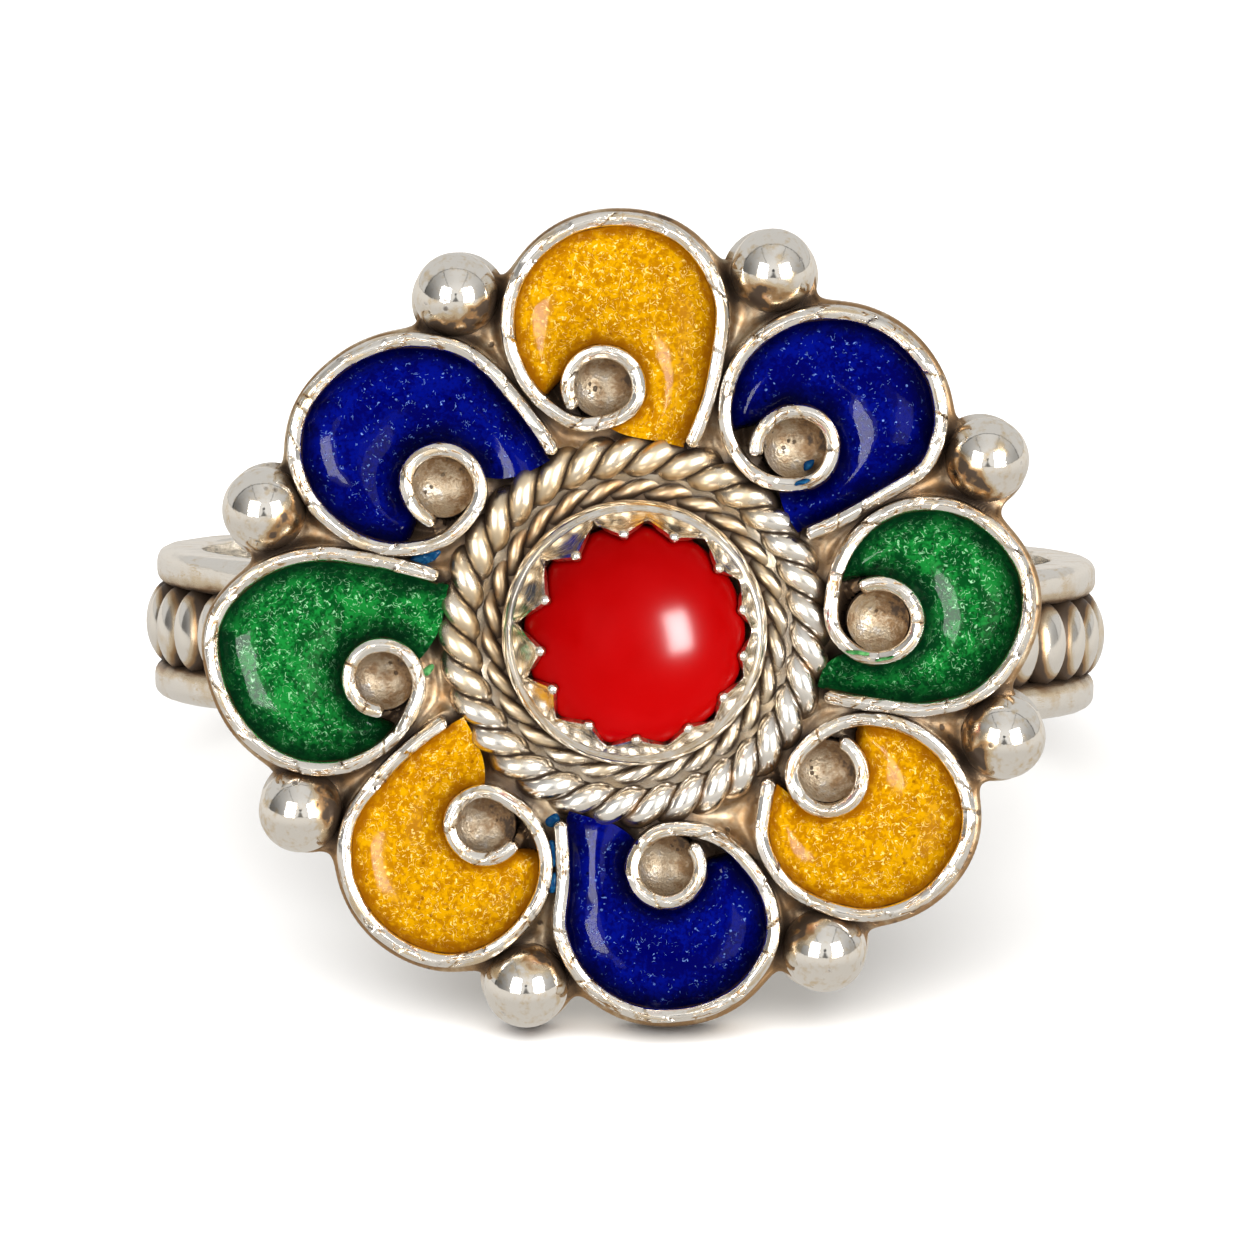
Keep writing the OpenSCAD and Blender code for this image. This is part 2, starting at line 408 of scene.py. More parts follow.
@dataclass(frozen=True)
class EnamelFinish:
    """Glassy enamel, dark where it is thick at the wires, with painted shade there, and full of pale
    flecks.

    Attributes:
        name: Name of the material.
        body: Its usual colour.
        light: Colour of its clearer clouds.
        shade: Colour at the wires, where it is thick, with painted shade there.
        fleck: Colour of the flecks.
        curls: Share of the enamel with short curved flecks, from 0 to 1.
        specks: Amount of round specks.
        pocks: Share of the enamel with dark pinholes.
        clouds: Waves of the clouds to a millimetre.
        rim: Width of the dark rim in millimetres.
    """

    name: str
    body: Colour
    light: Colour
    shade: Colour
    fleck: Colour
    curls: float
    specks: float
    pocks: float = 0.3
    clouds: float = 2.2
    rim: float = 0.6

    # Colour of the dark line where the enamel meets the wires.
    DARK_FOOT = (0.03, 0.016, 0.008)

    def build(self) -> bpy.types.Material:
        """Makes the material.

        Returns:
            The material.
        """
        shader = Shader.named(self.name)
        point = shader.millimetres()
        inset = shader.node("ShaderNodeAttribute", {"attribute_name": "inset"}, output="Fac")
        cloud = shader.noise(point, self.clouds, 5, 0.6)
        fine = shader.noise(point, 12, 4, 0.5, shift=5)
        wander = shader.noise(point, 5.5, 1, 1.2, shift=11)
        line = abs(wander - 0.5).step(0.024, 0.012)
        start = 0.64 - 0.2 * self.curls
        gaps = shader.noise(point, 8, 1, shift=17).step(start, start + 0.06)
        speck = shader.dots(point, 8, 0.3, self.specks)
        speck = speck.most(shader.dots(point, 14, 0.3, self.specks, 4))
        # Darker rim along the wires: the deeper colour of thick enamel, and painted shade beside the
        # walls.
        edge = (inset + (cloud - 0.5) * 0.3).step(self.rim, 0.04)
        fleck = (line * gaps).most(speck) * (1 - edge)
        dimple = shader.dots(point, 3.4, 0.17, self.pocks, 9)
        base = shader.mix((cloud + (fine - 0.5) * 0.9).step(0.36, 0.66), self.body, self.light)
        base = shader.mix(edge * 0.92, base, self.shade)
        colour = shader.mix(fleck * (fine * 2.6 - 0.6), base, self.fleck)
        colour = shader.mix(dimple * 0.75, colour, self.shade)
        # A darker line where the enamel meets the wires.
        foot = inset.step(0.06, 0.02)
        sockets = {
            "Base Color": shader.mix(foot * 0.85, colour, self.DARK_FOOT),
            "Roughness": 0.4,
            "Specular IOR Level": 0.0,
            "Coat Weight": 1.0,
            "Coat Roughness": 0.055,
            "Coat IOR": GLASS_IOR,
        }
        swell = shader.noise(point, 2.2, 2, shift=2)
        return shader.finish(sockets, swell + fleck * 0.3 - dimple, 0.012)


@dataclass(frozen=True)
class CoralFinish:
    """Polished red coral.

    Attributes:
        name: Name of the material.
        body: Its colour.
        pale: Colour of its faint clouds.
    """

    name: str = "polished_coral"
    body: Colour = (0.345, 0.0002, 0.0004)
    pale: Colour = (0.37, 0.001, 0.0015)

    def build(self) -> bpy.types.Material:
        """Makes the material.

        Returns:
            The material.
        """
        shader = Shader.named(self.name)
        point = shader.millimetres()
        cloud = shader.noise(point, 0.6, 3, 0.4)
        fine = shader.noise(point, 9, 3, shift=6)
        colour = shader.mix(cloud.step(0.42, 0.7), self.body, self.pale)
        sockets = {
            "Base Color": colour,
            "Roughness": 0.3,
            "Specular IOR Level": 0.0,
            "Coat Weight": 1.0,
            "Coat Roughness": 0.21,
            "Coat IOR": GLASS_IOR,
        }
        return shader.finish(sockets, fine, 0.0015)


@dataclass(frozen=True)
class FloorFinish:
    """Plain pale floor.

    Attributes:
        name: Name of the material.
        colour: Its colour.
    """

    name: str = "pale_floor"
    colour: Colour = (0.93, 0.93, 0.93)

    def build(self) -> bpy.types.Material:
        """Makes the material.

        Returns:
            The material.
        """
        shader = Shader.named(self.name)
        grain = shader.noise(shader.millimetres(), 0.2, 2)
        sockets = {"Base Color": (*self.colour, 1.0), "Roughness": 0.75, "Specular IOR Level": 0.1}
        return shader.finish(sockets, grain, 0.005)


@dataclass
class Workshop:
    """The finishes of the ring, made once and shared by its pieces.

    Attributes:
        wire: Silver of the scroll wires.
        plate: Silver of the back plate.
        cup: Silver of the cups.
        ball: Silver of the balls.
        rope: Silver of the ropes and their bed.
        bezel: Silver of the bezel.
        band: Silver of the band.
        coral: The coral.
        enamels: Enamel of the petals by its colour.
        films: Thin enamel of the traces by its colour.
    """

    wire: bpy.types.Material = field(init=False)
    plate: bpy.types.Material = field(init=False)
    cup: bpy.types.Material = field(init=False)
    ball: bpy.types.Material = field(init=False)
    rope: bpy.types.Material = field(init=False)
    bezel: bpy.types.Material = field(init=False)
    band: bpy.types.Material = field(init=False)
    coral: bpy.types.Material = field(init=False)
    enamels: dict[Glaze, bpy.types.Material] = field(init=False)
    films: dict[Glaze, bpy.types.Material] = field(init=False)

    def __post_init__(self) -> None:
        """Builds every material."""
        self.wire = SilverFinish(
            "hammered_silver", 0.15, 0.34, 0.25, tan=0.08, age=1.6, pits=0.06, relief=0.005, streaks=0.62
        ).build()
        self.plate = SilverFinish(
            "oxidised_sheet", 0.2, 0.42, 0.35, tan=0.66, age=1.3, clouds=0.8, pits=0.35
        ).build()
        # The cup's wide recess darkening is partly oxide, partly painted shade round its rim under the
        # curl's wire.
        self.cup = SilverFinish(
            "dull_cup", 0.32, 0.5, 0.8, tan=0.53, age=1.6, clouds=1.2, patch=3.5,
            pits=0.2, pit_scale=8, relief=0.02, grain=16,
        ).build()
        self.ball = SilverFinish(
            "polished_ball", 0.06, 0.3, 0.35, tan=0.02, age=1.3, clouds=0.6, patch=4,
            pits=0.2, relief=0.002, grain=9,
        ).build()
        self.rope = SilverFinish(
            "twisted_silver", 0.2, 0.38, 0.28, tan=0.25, age=1.5, pits=0.04, relief=0.0015, grain=2.5
        ).build()
        self.bezel = SilverFinish(
            "burnished_bezel", 0.16, 0.3, 0.2, tan=0.18, age=1.1,
            pits=0.02, relief=0.0015, grain=3, streaks=0.35,
        ).build()
        # The band's strong, wide recess darkening is partly oxide, partly painted shade in the grooves
        # between rails and beads.
        self.band = SilverFinish(
            "worn_band", 0.16, 0.34, 0.6, tan=0.09, age=2.4, clouds=0.7, pits=0.03, grain=2, streaks=0.12
        ).build()
        self.coral = CoralFinish().build()
        self.enamels = {
            Glaze.YELLOW: EnamelFinish(
                "yellow_enamel", (0.385, 0.155, 0.0004), (0.60, 0.30, 0.0008), (0.22, 0.07, 0.001),
                (0.97, 0.72, 0.2), curls=0.95, specks=0.05, pocks=0.55, clouds=4, rim=0.35,
            ).build(),
            Glaze.BLUE: EnamelFinish(
                "blue_enamel", (0.0001, 0.0004, 0.08), (0.0004, 0.003, 0.16), (0.0001, 0.0002, 0.01),
                (0.16, 0.28, 0.66), curls=0.25, specks=0.05, clouds=1.6, rim=0.6,
            ).build(),
            Glaze.GREEN: EnamelFinish(
                "green_enamel", (0.0012, 0.055, 0.009), (0.008, 0.20, 0.03), (0.0005, 0.012, 0.004),
                (0.34, 0.70, 0.38), curls=0.9, specks=0.06, clouds=2, rim=0.75,
            ).build(),
        }
        self.films = {
            Glaze.YELLOW: self.enamels[Glaze.YELLOW],
            Glaze.BLUE: EnamelFinish(
                "thin_blue_enamel", (0.002, 0.03, 0.1), (0.01, 0.08, 0.18), (0.001, 0.008, 0.04),
                (0.2, 0.4, 0.6), curls=0.2, specks=0.03, clouds=6,
            ).build(),
            Glaze.GREEN: EnamelFinish(
                "thin_green_enamel", (0.03, 0.16, 0.04), (0.12, 0.36, 0.12), (0.005, 0.04, 0.012),
                (0.4, 0.7, 0.4), curls=0.3, specks=0.03, clouds=6,
            ).build(),
        }


# Mesh helpers


def vector_at(r: float, angle: float, z: float) -> Vector:
    """Point at radius r and angle round Z."""
    return Vector((r * math.cos(angle), r * math.sin(angle), z))


def place_piece(
    mesh: bmesh.types.BMesh,
    name: str,
    place: Matrix,
    material: bpy.types.Material,
    node: str = "silver_mount",
    crease: float = 40,
) -> bpy.types.Object:
    """Turns a finished bmesh into a piece of the ring.

    Args:
        mesh: The shape, in millimetres of the ring or of its head.
        name: The piece's name.
        place: Matrix from those millimetres to the frame.
        material: Its finish.
        node: CAD node that it stands for.
        crease: Angle in degrees past which an edge is sharp.

    Returns:
        The piece.
    """
    bmesh.ops.transform(mesh, matrix=place, verts=mesh.verts)
    data = bpy.data.meshes.new(name)
    mesh.to_mesh(data)
    mesh.free()
    data.polygons.foreach_set("use_smooth", [True] * len(data.polygons))
    data.set_sharp_from_angle(angle=math.radians(crease))
    data.materials.append(material)
    piece = bpy.data.objects.new(name, data)
    bpy.context.scene.collection.objects.link(piece)
    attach(piece, "root")
    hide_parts(node)
    log.info("%s: %d faces", name, len(data.polygons))
    return piece


def nearest(spots: np.ndarray, line: np.ndarray) -> np.ndarray:
    """Distance of spots from the nearest point of a line.

    Args:
        spots: The spots.
        line: Points of the line.

    Returns:
        One distance for each spot.
    """
    return np.sqrt(((spots[:, None] - line[None]) ** 2).sum(2)).min(1)


def close_up(mesh: bmesh.types.BMesh) -> None:
    """Merges seams, closes open ends and turns every face outward.

    Args:
        mesh: The shape.
    """
    bmesh.ops.remove_doubles(mesh, verts=mesh.verts, dist=SAME_SPOT)
    rims = [e for e in mesh.edges if e.is_boundary]
    if rims:
        bmesh.ops.holes_fill(mesh, edges=rims, sides=0)
    bmesh.ops.recalc_face_normals(mesh, faces=mesh.faces)


def spin_section(mesh: bmesh.types.BMesh, section: Sequence[Point], steps: int, closed: bool) -> None:
    """Spins a section of (radius, height) points round Z.

    Args:
        mesh: Receives the new faces.
        section: Points of the section.
        steps: Steps of a full turn.
        closed: Whether the last point joins the first.
    """
    points = [mesh.verts.new((r, 0, z)) for r, z in section]
    edges = [mesh.edges.new(pair) for pair in zip(points, points[1:])]
    if closed:
        edges.append(mesh.edges.new((points[-1], points[0])))
    bmesh.ops.spin(
        mesh,
        geom=points + edges,
        cent=(0, 0, 0),
        axis=(0, 0, 1),
        angle=FULL_TURN,
        steps=steps,
        use_merge=True,
    )


def drape_grid(
    mesh: bmesh.types.BMesh, columns: int, rows: int, shape: Callable[[int, int], Vector]
) -> list[tuple[bmesh.types.BMVert, int, int]]:
    """Bends a flat grid into a swept surface.

    Args:
        mesh: Receives the grid.
        columns: Faces along the sweep.
        rows: Faces round the section.
        shape: Gives the place of the point in a column and row.

    Returns:
        Every point with its column and row.
    """
    made = bmesh.ops.create_grid(mesh, x_segments=columns, y_segments=rows, size=1)["verts"]
    placed = []
    for vert in made:
        column = round((vert.co.x + 1) / 2 * columns)
        row = round((vert.co.y + 1) / 2 * rows)
        vert.co = shape(column, row)
        placed.append((vert, column, row))
    return placed


def waver(point: Vector, scale: float, seed: float) -> float:
    """Smooth seeded unevenness of handmade metal.

    Args:
        point: Where it is read, in millimetres.
        scale: Waves to a millimetre.
        seed: Chooses the pattern.

    Returns:
        A value from about -1 to 1.
    """
    return noise.noise(point * scale + Vector((seed, 1.7 * seed, -seed)))


# Routes


@dataclass(frozen=True)
class Route:
    """A wire's smooth centre line through points of the head.

    Attributes:
        points: The points, in millimetres from the bezel's centre.
    """

    points: tuple[Point, ...]

    @property
    def last(self) -> int:
        """Station of the last point."""
        return len(self.points) - 1

    def _tangent(self, index: int) -> Vector:
        """Direction at one of the points, along the circle through it and its neighbours.

        Args:
            index: Number of the point.

        Returns:
            The unit vector.
        """
        if index in (0, self.last):
            a, b = (0, 1) if index == 0 else (self.last - 1, self.last)
            inner = self._tangent(1 if index == 0 else self.last - 1)
            chord = (Vector(self.points[b]) - Vector(self.points[a])).normalized()
            return 2 * inner.dot(chord) * chord - inner
        a, b, c = (Vector(self.points[index + k]) for k in (-1, 0, 1))
        return ((b - a) / (b - a).length_squared + (c - b) / (c - b).length_squared).normalized()

    def at(self, station: float) -> Vector:
        """Point of the route.

        Args:
            station: Place counted in points, where whole numbers are the points.

        Returns:
            The point.
        """
        index = min(int(station), self.last - 1)
        u = station - index
        a, b = Vector(self.points[index]), Vector(self.points[index + 1])
        chord = (b - a).normalized()
        ta, tb = self._tangent(index), self._tangent(index + 1)
        ta, tb = (t * 2 * (b - a).length / (1 + t.dot(chord)) for t in (ta, tb))
        start = (2 * u**3 - 3 * u**2 + 1) * a + (u**3 - 2 * u**2 + u) * ta
        return start + (3 * u**2 - 2 * u**3) * b + (u**3 - u**2) * tb

    def even(self, first: float, last: float, pitch: float) -> list[tuple[Vector, Vector]]:
        """Points at an even pitch between two stations.

        Args:
            first: Station where they start.
            last: Station where they end. It may be the smaller one.
            pitch: Wanted distance between them in millimetres.

        Returns:
            Each point with the route's direction from first to last there.
        """
        stations = np.linspace(first, last, 40 * math.ceil(abs(last - first)) + 1)
        line = np.array([self.at(s) for s in stations])
        run = np.concatenate([[0], np.cumsum(np.hypot(*np.diff(line, axis=0).T))])
        wanted = np.linspace(0, run[-1], max(2, round(run[-1] / pitch)) + 1)
        spots = np.stack([np.interp(wanted, run, line[:, k]) for k in (0, 1)], axis=1)
        ways = np.gradient(spots, axis=0)
        return [(Vector(p), Vector(w).normalized()) for p, w in zip(spots.tolist(), ways.tolist())]

    def beside(self, first: float, last: float, pitch: float, offset: float) -> list[Vector]:
        """Points beside the route.

        Args:
            first: Station where they start.
            last: Station where they end.
            pitch: Distance between them.
            offset: Distance to the left of the route from its tail.

        Returns:
            The points in order.
        """
        side = offset if last > first else -offset
        return [p + side * Vector((-w.y, w.x)) for p, w in self.even(first, last, pitch)]


@dataclass(frozen=True)
class Petal:
    """One petal of the head.

    Attributes:
        name: Its place, as in the enamel nodes.
        glaze: Colour of its enamel.
        curl: Middle of the curl's cup.
        ends: Stations where the enamel leaves the outer turn, and where it follows the curl.
        route: The wire from its tail into the curl.
        end_r: Distance from the bezel's centre where the enamel ends.
    """

    name: str
    glaze: Glaze
    curl: Point
    ends: tuple[float, float, float]
    route: Route
    end_r: float = ROPE_CLEAR_R

    @property
    def node(self) -> str:
        """Name of the enamel's CAD node."""
        return f"enamel_{self.name}"


PETALS = (
    Petal("yellow_top", Glaze.YELLOW, (-0.67, 5.22), (8, 12, 9.25), Route((
        (1.18, 3.96), (1.76, 5.79), (1.84, 7.07), (0.97, 8.43), (-0.31, 8.8),
        (-1.69, 8.43), (-2.69, 6.86), (-2.55, 5.79), (-1.95, 4.9), (-0.95, 4.43),
        (0.1, 5.28), (-0.67, 5.99), (-1.42, 5.33), (-1.25, 4.77)))),
    Petal("blue_upper_right", Glaze.BLUE, (3.42, 3.92), (7.8, 12.5, 9.1), Route((
        (3.65, 2.08), (5.22, 2.88), (6.27, 3.66), (6.52, 4.7), (5.95, 6.03),
        (4.72, 6.76), (3.17, 6.6), (2, 5.3), (2.08, 3.96), (2.95, 3.19),
        (4.15, 3.6), (4, 4.5), (3.2, 4.68), (2.6, 3.74)))),
    Petal("green_right", Glaze.GREEN, (5.19, 0.24), (9, 13.8, 10.3), Route((
        (4.05, -1.34), (5.2, -1.56), (6.3, -1.63), (7.33, -1.32), (8.18, -0.3),
        (8.37, 1), (7.66, 2.2), (6.33, 2.76), (5, 2.32), (4.25, 1.05),
        (4.36, -0.12), (5.19, -0.55), (6.03, 0.24), (5.6, 0.95), (4.78, 0.93)))),
    Petal("yellow_lower_right", Glaze.YELLOW, (4.11, -2.98), (9.5, 13.7, 11.3), Route((
        (2.89, -3.14), (2.75, -3.86), (2.72, -4.37), (3.1, -5.22), (3.98, -5.83),
        (5.16, -6.02), (6.53, -5.34), (7.12, -4.11), (6.75, -2.81), (5.57, -1.94),
        (3.98, -2.16), (3.38, -3.22), (4.24, -3.8), (4.85, -2.93), (4.37, -2.31))), 4.42),
    Petal("blue_bottom", Glaze.BLUE, (0.69, -4.98), (7.4, 12.3, 9.3), Route((
        (-1.59, -4.03), (-1.52, -5.21), (-1.56, -6.54), (-0.61, -7.83), (0.91, -8.18),
        (2.34, -7.57), (2.97, -6.32), (2.57, -5.14), (1.24, -4.22), (0.35, -4.35),
        (-0.04, -5.14), (0.57, -5.76), (1.4, -5.06), (1.2, -4.51)))),
    Petal("yellow_lower_left", Glaze.YELLOW, (-3.2, -4.12), (7, 11.9, 8.75), Route((
        (-4.02, -1.87), (-5.37, -3.03), (-6.07, -4), (-6.14, -5.14), (-5.08, -6.65),
        (-3.8, -7), (-2.42, -6.28), (-1.92, -4.66), (-2.57, -3.66), (-3.41, -3.42),
        (-3.93, -4.03), (-3.27, -4.83), (-2.53, -4.47)))),
    Petal("green_left", Glaze.GREEN, (-5.34, -1), (8.85, 13.8, 10.4), Route((
        (-4.17, 1.19), (-5.67, 1.56), (-6.78, 1.67), (-8.14, 1.19), (-8.96, 0.18),
        (-8.9, -0.96), (-8.22, -2.22), (-7.07, -2.87), (-5.93, -2.78), (-4.86, -1.89),
        (-4.6, -1), (-5.08, -0.32), (-5.89, -0.47), (-6.04, -1.22), (-5.34, -1.68)))),
    Petal("blue_upper_left", Glaze.BLUE, (-4.07, 3.1), (8.2, 13.3, 10.1), Route((
        (-1.71, 3.8), (-2.5, 4.96), (-3.61, 6), (-4.73, 6.23), (-6.24, 5.71),
        (-7.15, 4.54), (-7.19, 3.5), (-6.44, 2.33), (-5.08, 1.77), (-3.73, 2.23),
        (-3.28, 3.15), (-4.05, 3.9), (-4.81, 3.47), (-4.61, 2.59), (-4.23, 2.33)))),
)

BALL_SPOTS: tuple[Point, ...] = (
    (-3.8, 7.18), (2.95, 7.69), (7.51, 3.66), (7.87, -2.26),
    (4.06, -6.82), (-2.31, -7.58), (-7.12, -3.83), (-7.89, 2.6),
)


# Band


@dataclass
class Band:
    """Band of two rounded rails with a row of beads between them.

    Attributes:
        rail_t: Thickness of a rail.
        rail_w: Width of a rail.
        corner: Radius of a rail's outer corners.
        inner_corner: Radius of a rail's inner corners.
        core_t: Thickness of the floor between the rails.
        core_tuck: Distance that the floor reaches into a rail.
        wear: Depth of the dents of wear.
        beads: Number of beads in the row.
        crest_r: Radius of the beads' crests.
        bead_along: Half the length of a bead along the row.
        bead_across: Half its length across the row.
        bead_out: Half its thickness away from the finger.
        bead_clean_and_lit: Share of a bead's width that is free of oxide and painted shade.
        stain_and_shade_w: Width of the brown band on a rail's side towards the beads, partly oxide and
            partly painted shade.
        twist: Degrees that the band is turned against the head, higher on the left.
    """

    rail_t: float = 1.0
    rail_w: float = 0.8
    corner: float = 0.3
    inner_corner: float = 0.09
    core_t: float = 0.5
    core_tuck: float = 0.1
    wear: float = 0.022
    beads: int = 49
    crest_r: float = 10.63
    bead_along: float = 0.65
    bead_across: float = 0.95
    bead_out: float = 0.6
    bead_clean_and_lit: float = 0.66
    stain_and_shade_w: float = 0.35
    twist: float = 0.8

    def place(self) -> Matrix:
        """Matrix from the band's millimetres to the frame."""
        return RING @ Matrix.Rotation(math.radians(self.twist), 4, "Y")

    def _rail_section(self, low: float) -> list[Point]:
        """Rounded section of one rail.

        Args:
            low: Height of its lower side.

        Returns:
            Points of (radius, height).
        """
        high, inner, outer = low + self.rail_w, FINGER_R, FINGER_R + self.rail_t
        corners = (
            (inner, low, self.inner_corner, math.pi),
            (outer, low, self.corner, 1.5 * math.pi),
            (outer, high, self.corner, 0),
            (inner, high, self.inner_corner, 0.5 * math.pi),
        )
        points = []
        for r, z, radius, start in corners:
            centre_r = r + radius if r == inner else r - radius
            centre_z = z + radius if z == low else z - radius
            for k in range(6):
                turn = start + k / 5 * math.pi / 2
                points.append((centre_r + radius * math.cos(turn), centre_z + radius * math.sin(turn)))
        return points

    def rail(self, name: str, low: float, seed: float, silver: bpy.types.Material) -> None:
        """Builds one rail with the small dents of wear.

        Args:
            name: The piece's name.
            low: Height of its lower side.
            seed: Chooses its dents.
            silver: Its finish.
        """
        mesh = bmesh.new()
        spin_section(mesh, self._rail_section(low), 256, closed=True)
        flow = mesh.verts.layers.float_vector.new("flow")
        grime = mesh.verts.layers.float.new("grime")
        for vert in mesh.verts:
            along = math.atan2(vert.co.y, vert.co.x) * FINGER_R
            vert[flow] = (along, vert.co.z, seed + vert.co.xy.length)
            outward = Vector((vert.co.x, vert.co.y, 0)).normalized()
            outer = vert.co.xy.length - FINGER_R > 0.2
            # Oxide and painted shade on the rail's outer side, next to the beads.
            by_beads = max(0.0, 1 - (abs(vert.co.z) - BAND_WIDTH / 2 + self.rail_w) / self.stain_and_shade_w)
            vert[grime] = outer * by_beads * (0.65 + 0.6 * waver(vert.co, 1.1, seed + 2))
            dent = waver(vert.co, 0.7, seed) + 0.5 * waver(vert.co, 1.9, seed)
            vert.co += outward * outer * self.wear * dent
            vert.co.z += 0.015 * waver(vert.co, 1.1, seed + 5)
        close_up(mesh)
        place_piece(mesh, name, self.place(), silver)

    def core(self, silver: bpy.types.Material) -> None:
        """Builds the thin floor that carries the beads.

        Args:
            silver: Its finish.
        """
        half = BAND_WIDTH / 2 - self.rail_w + self.core_tuck
        mesh = bmesh.new()
        grime = mesh.verts.layers.float.new("grime")
        rim = FINGER_R + self.core_t
        section = [(FINGER_R + 0.01, -half), (rim, -half), (rim, half), (FINGER_R + 0.01, half)]
        spin_section(mesh, section, 128, closed=True)
        close_up(mesh)
        # Oxide and painted shade on the floor's outer face, deep between the beads.
        for vert in mesh.verts:
            vert[grime] = 0.5 * (vert.co.xy.length > FINGER_R + 0.1)
        place_piece(mesh, "band_floor", self.place(), silver)

    def bead_row(self, silver: bpy.types.Material) -> None:
        """Builds the row of barrel-shaped beads.

        Args:
            silver: Their finish.
        """
        mesh = bmesh.new()
        grime = mesh.verts.layers.float.new("grime")
        rng = random.Random(11)
        middle = self.crest_r - self.bead_out
        for k in range(self.beads):
            angle = FULL_TURN * (k + 0.5) / self.beads + rng.uniform(-0.006, 0.006)
            size = Matrix.Diagonal((self.bead_out, self.bead_along, self.bead_across, 1))
            grow = Matrix.Scale(rng.uniform(0.97, 1.0), 4)
            out = Matrix.Translation((middle, 0, rng.uniform(-0.02, 0.02)))
            place = Matrix.Rotation(angle, 4, "Z") @ out @ size @ grow
            dirt_and_shade, unmade = rng.uniform(1.05, 1.5), place.inverted()
            bead = bmesh.ops.create_uvsphere(mesh, u_segments=28, v_segments=18, radius=1, matrix=place)
            for vert in bead["verts"]:
                spot = unmade @ vert.co
                # Oxide and painted shade towards each bead's rim, where it meets its neighbours and the
                # rails.
                edge = max(0.0, spot.yz.length - self.bead_clean_and_lit) / (1 - self.bead_clean_and_lit)
                vert[grime] = dirt_and_shade * edge * (1 + 0.5 * waver(vert.co, 1.3, 4.0))
        place_piece(mesh, "bead_row", self.place(), silver)

    def build(self, shop: Workshop) -> None:
        """Builds and dresses the whole band.

        Args:
            shop: The finishes.
        """
        self.rail("upper_rail", BAND_WIDTH / 2 - self.rail_w, 3.0, shop.band)
        self.rail("lower_rail", -BAND_WIDTH / 2, 9.0, shop.band)
        self.core(shop.band)
        self.bead_row(shop.band)


# Head


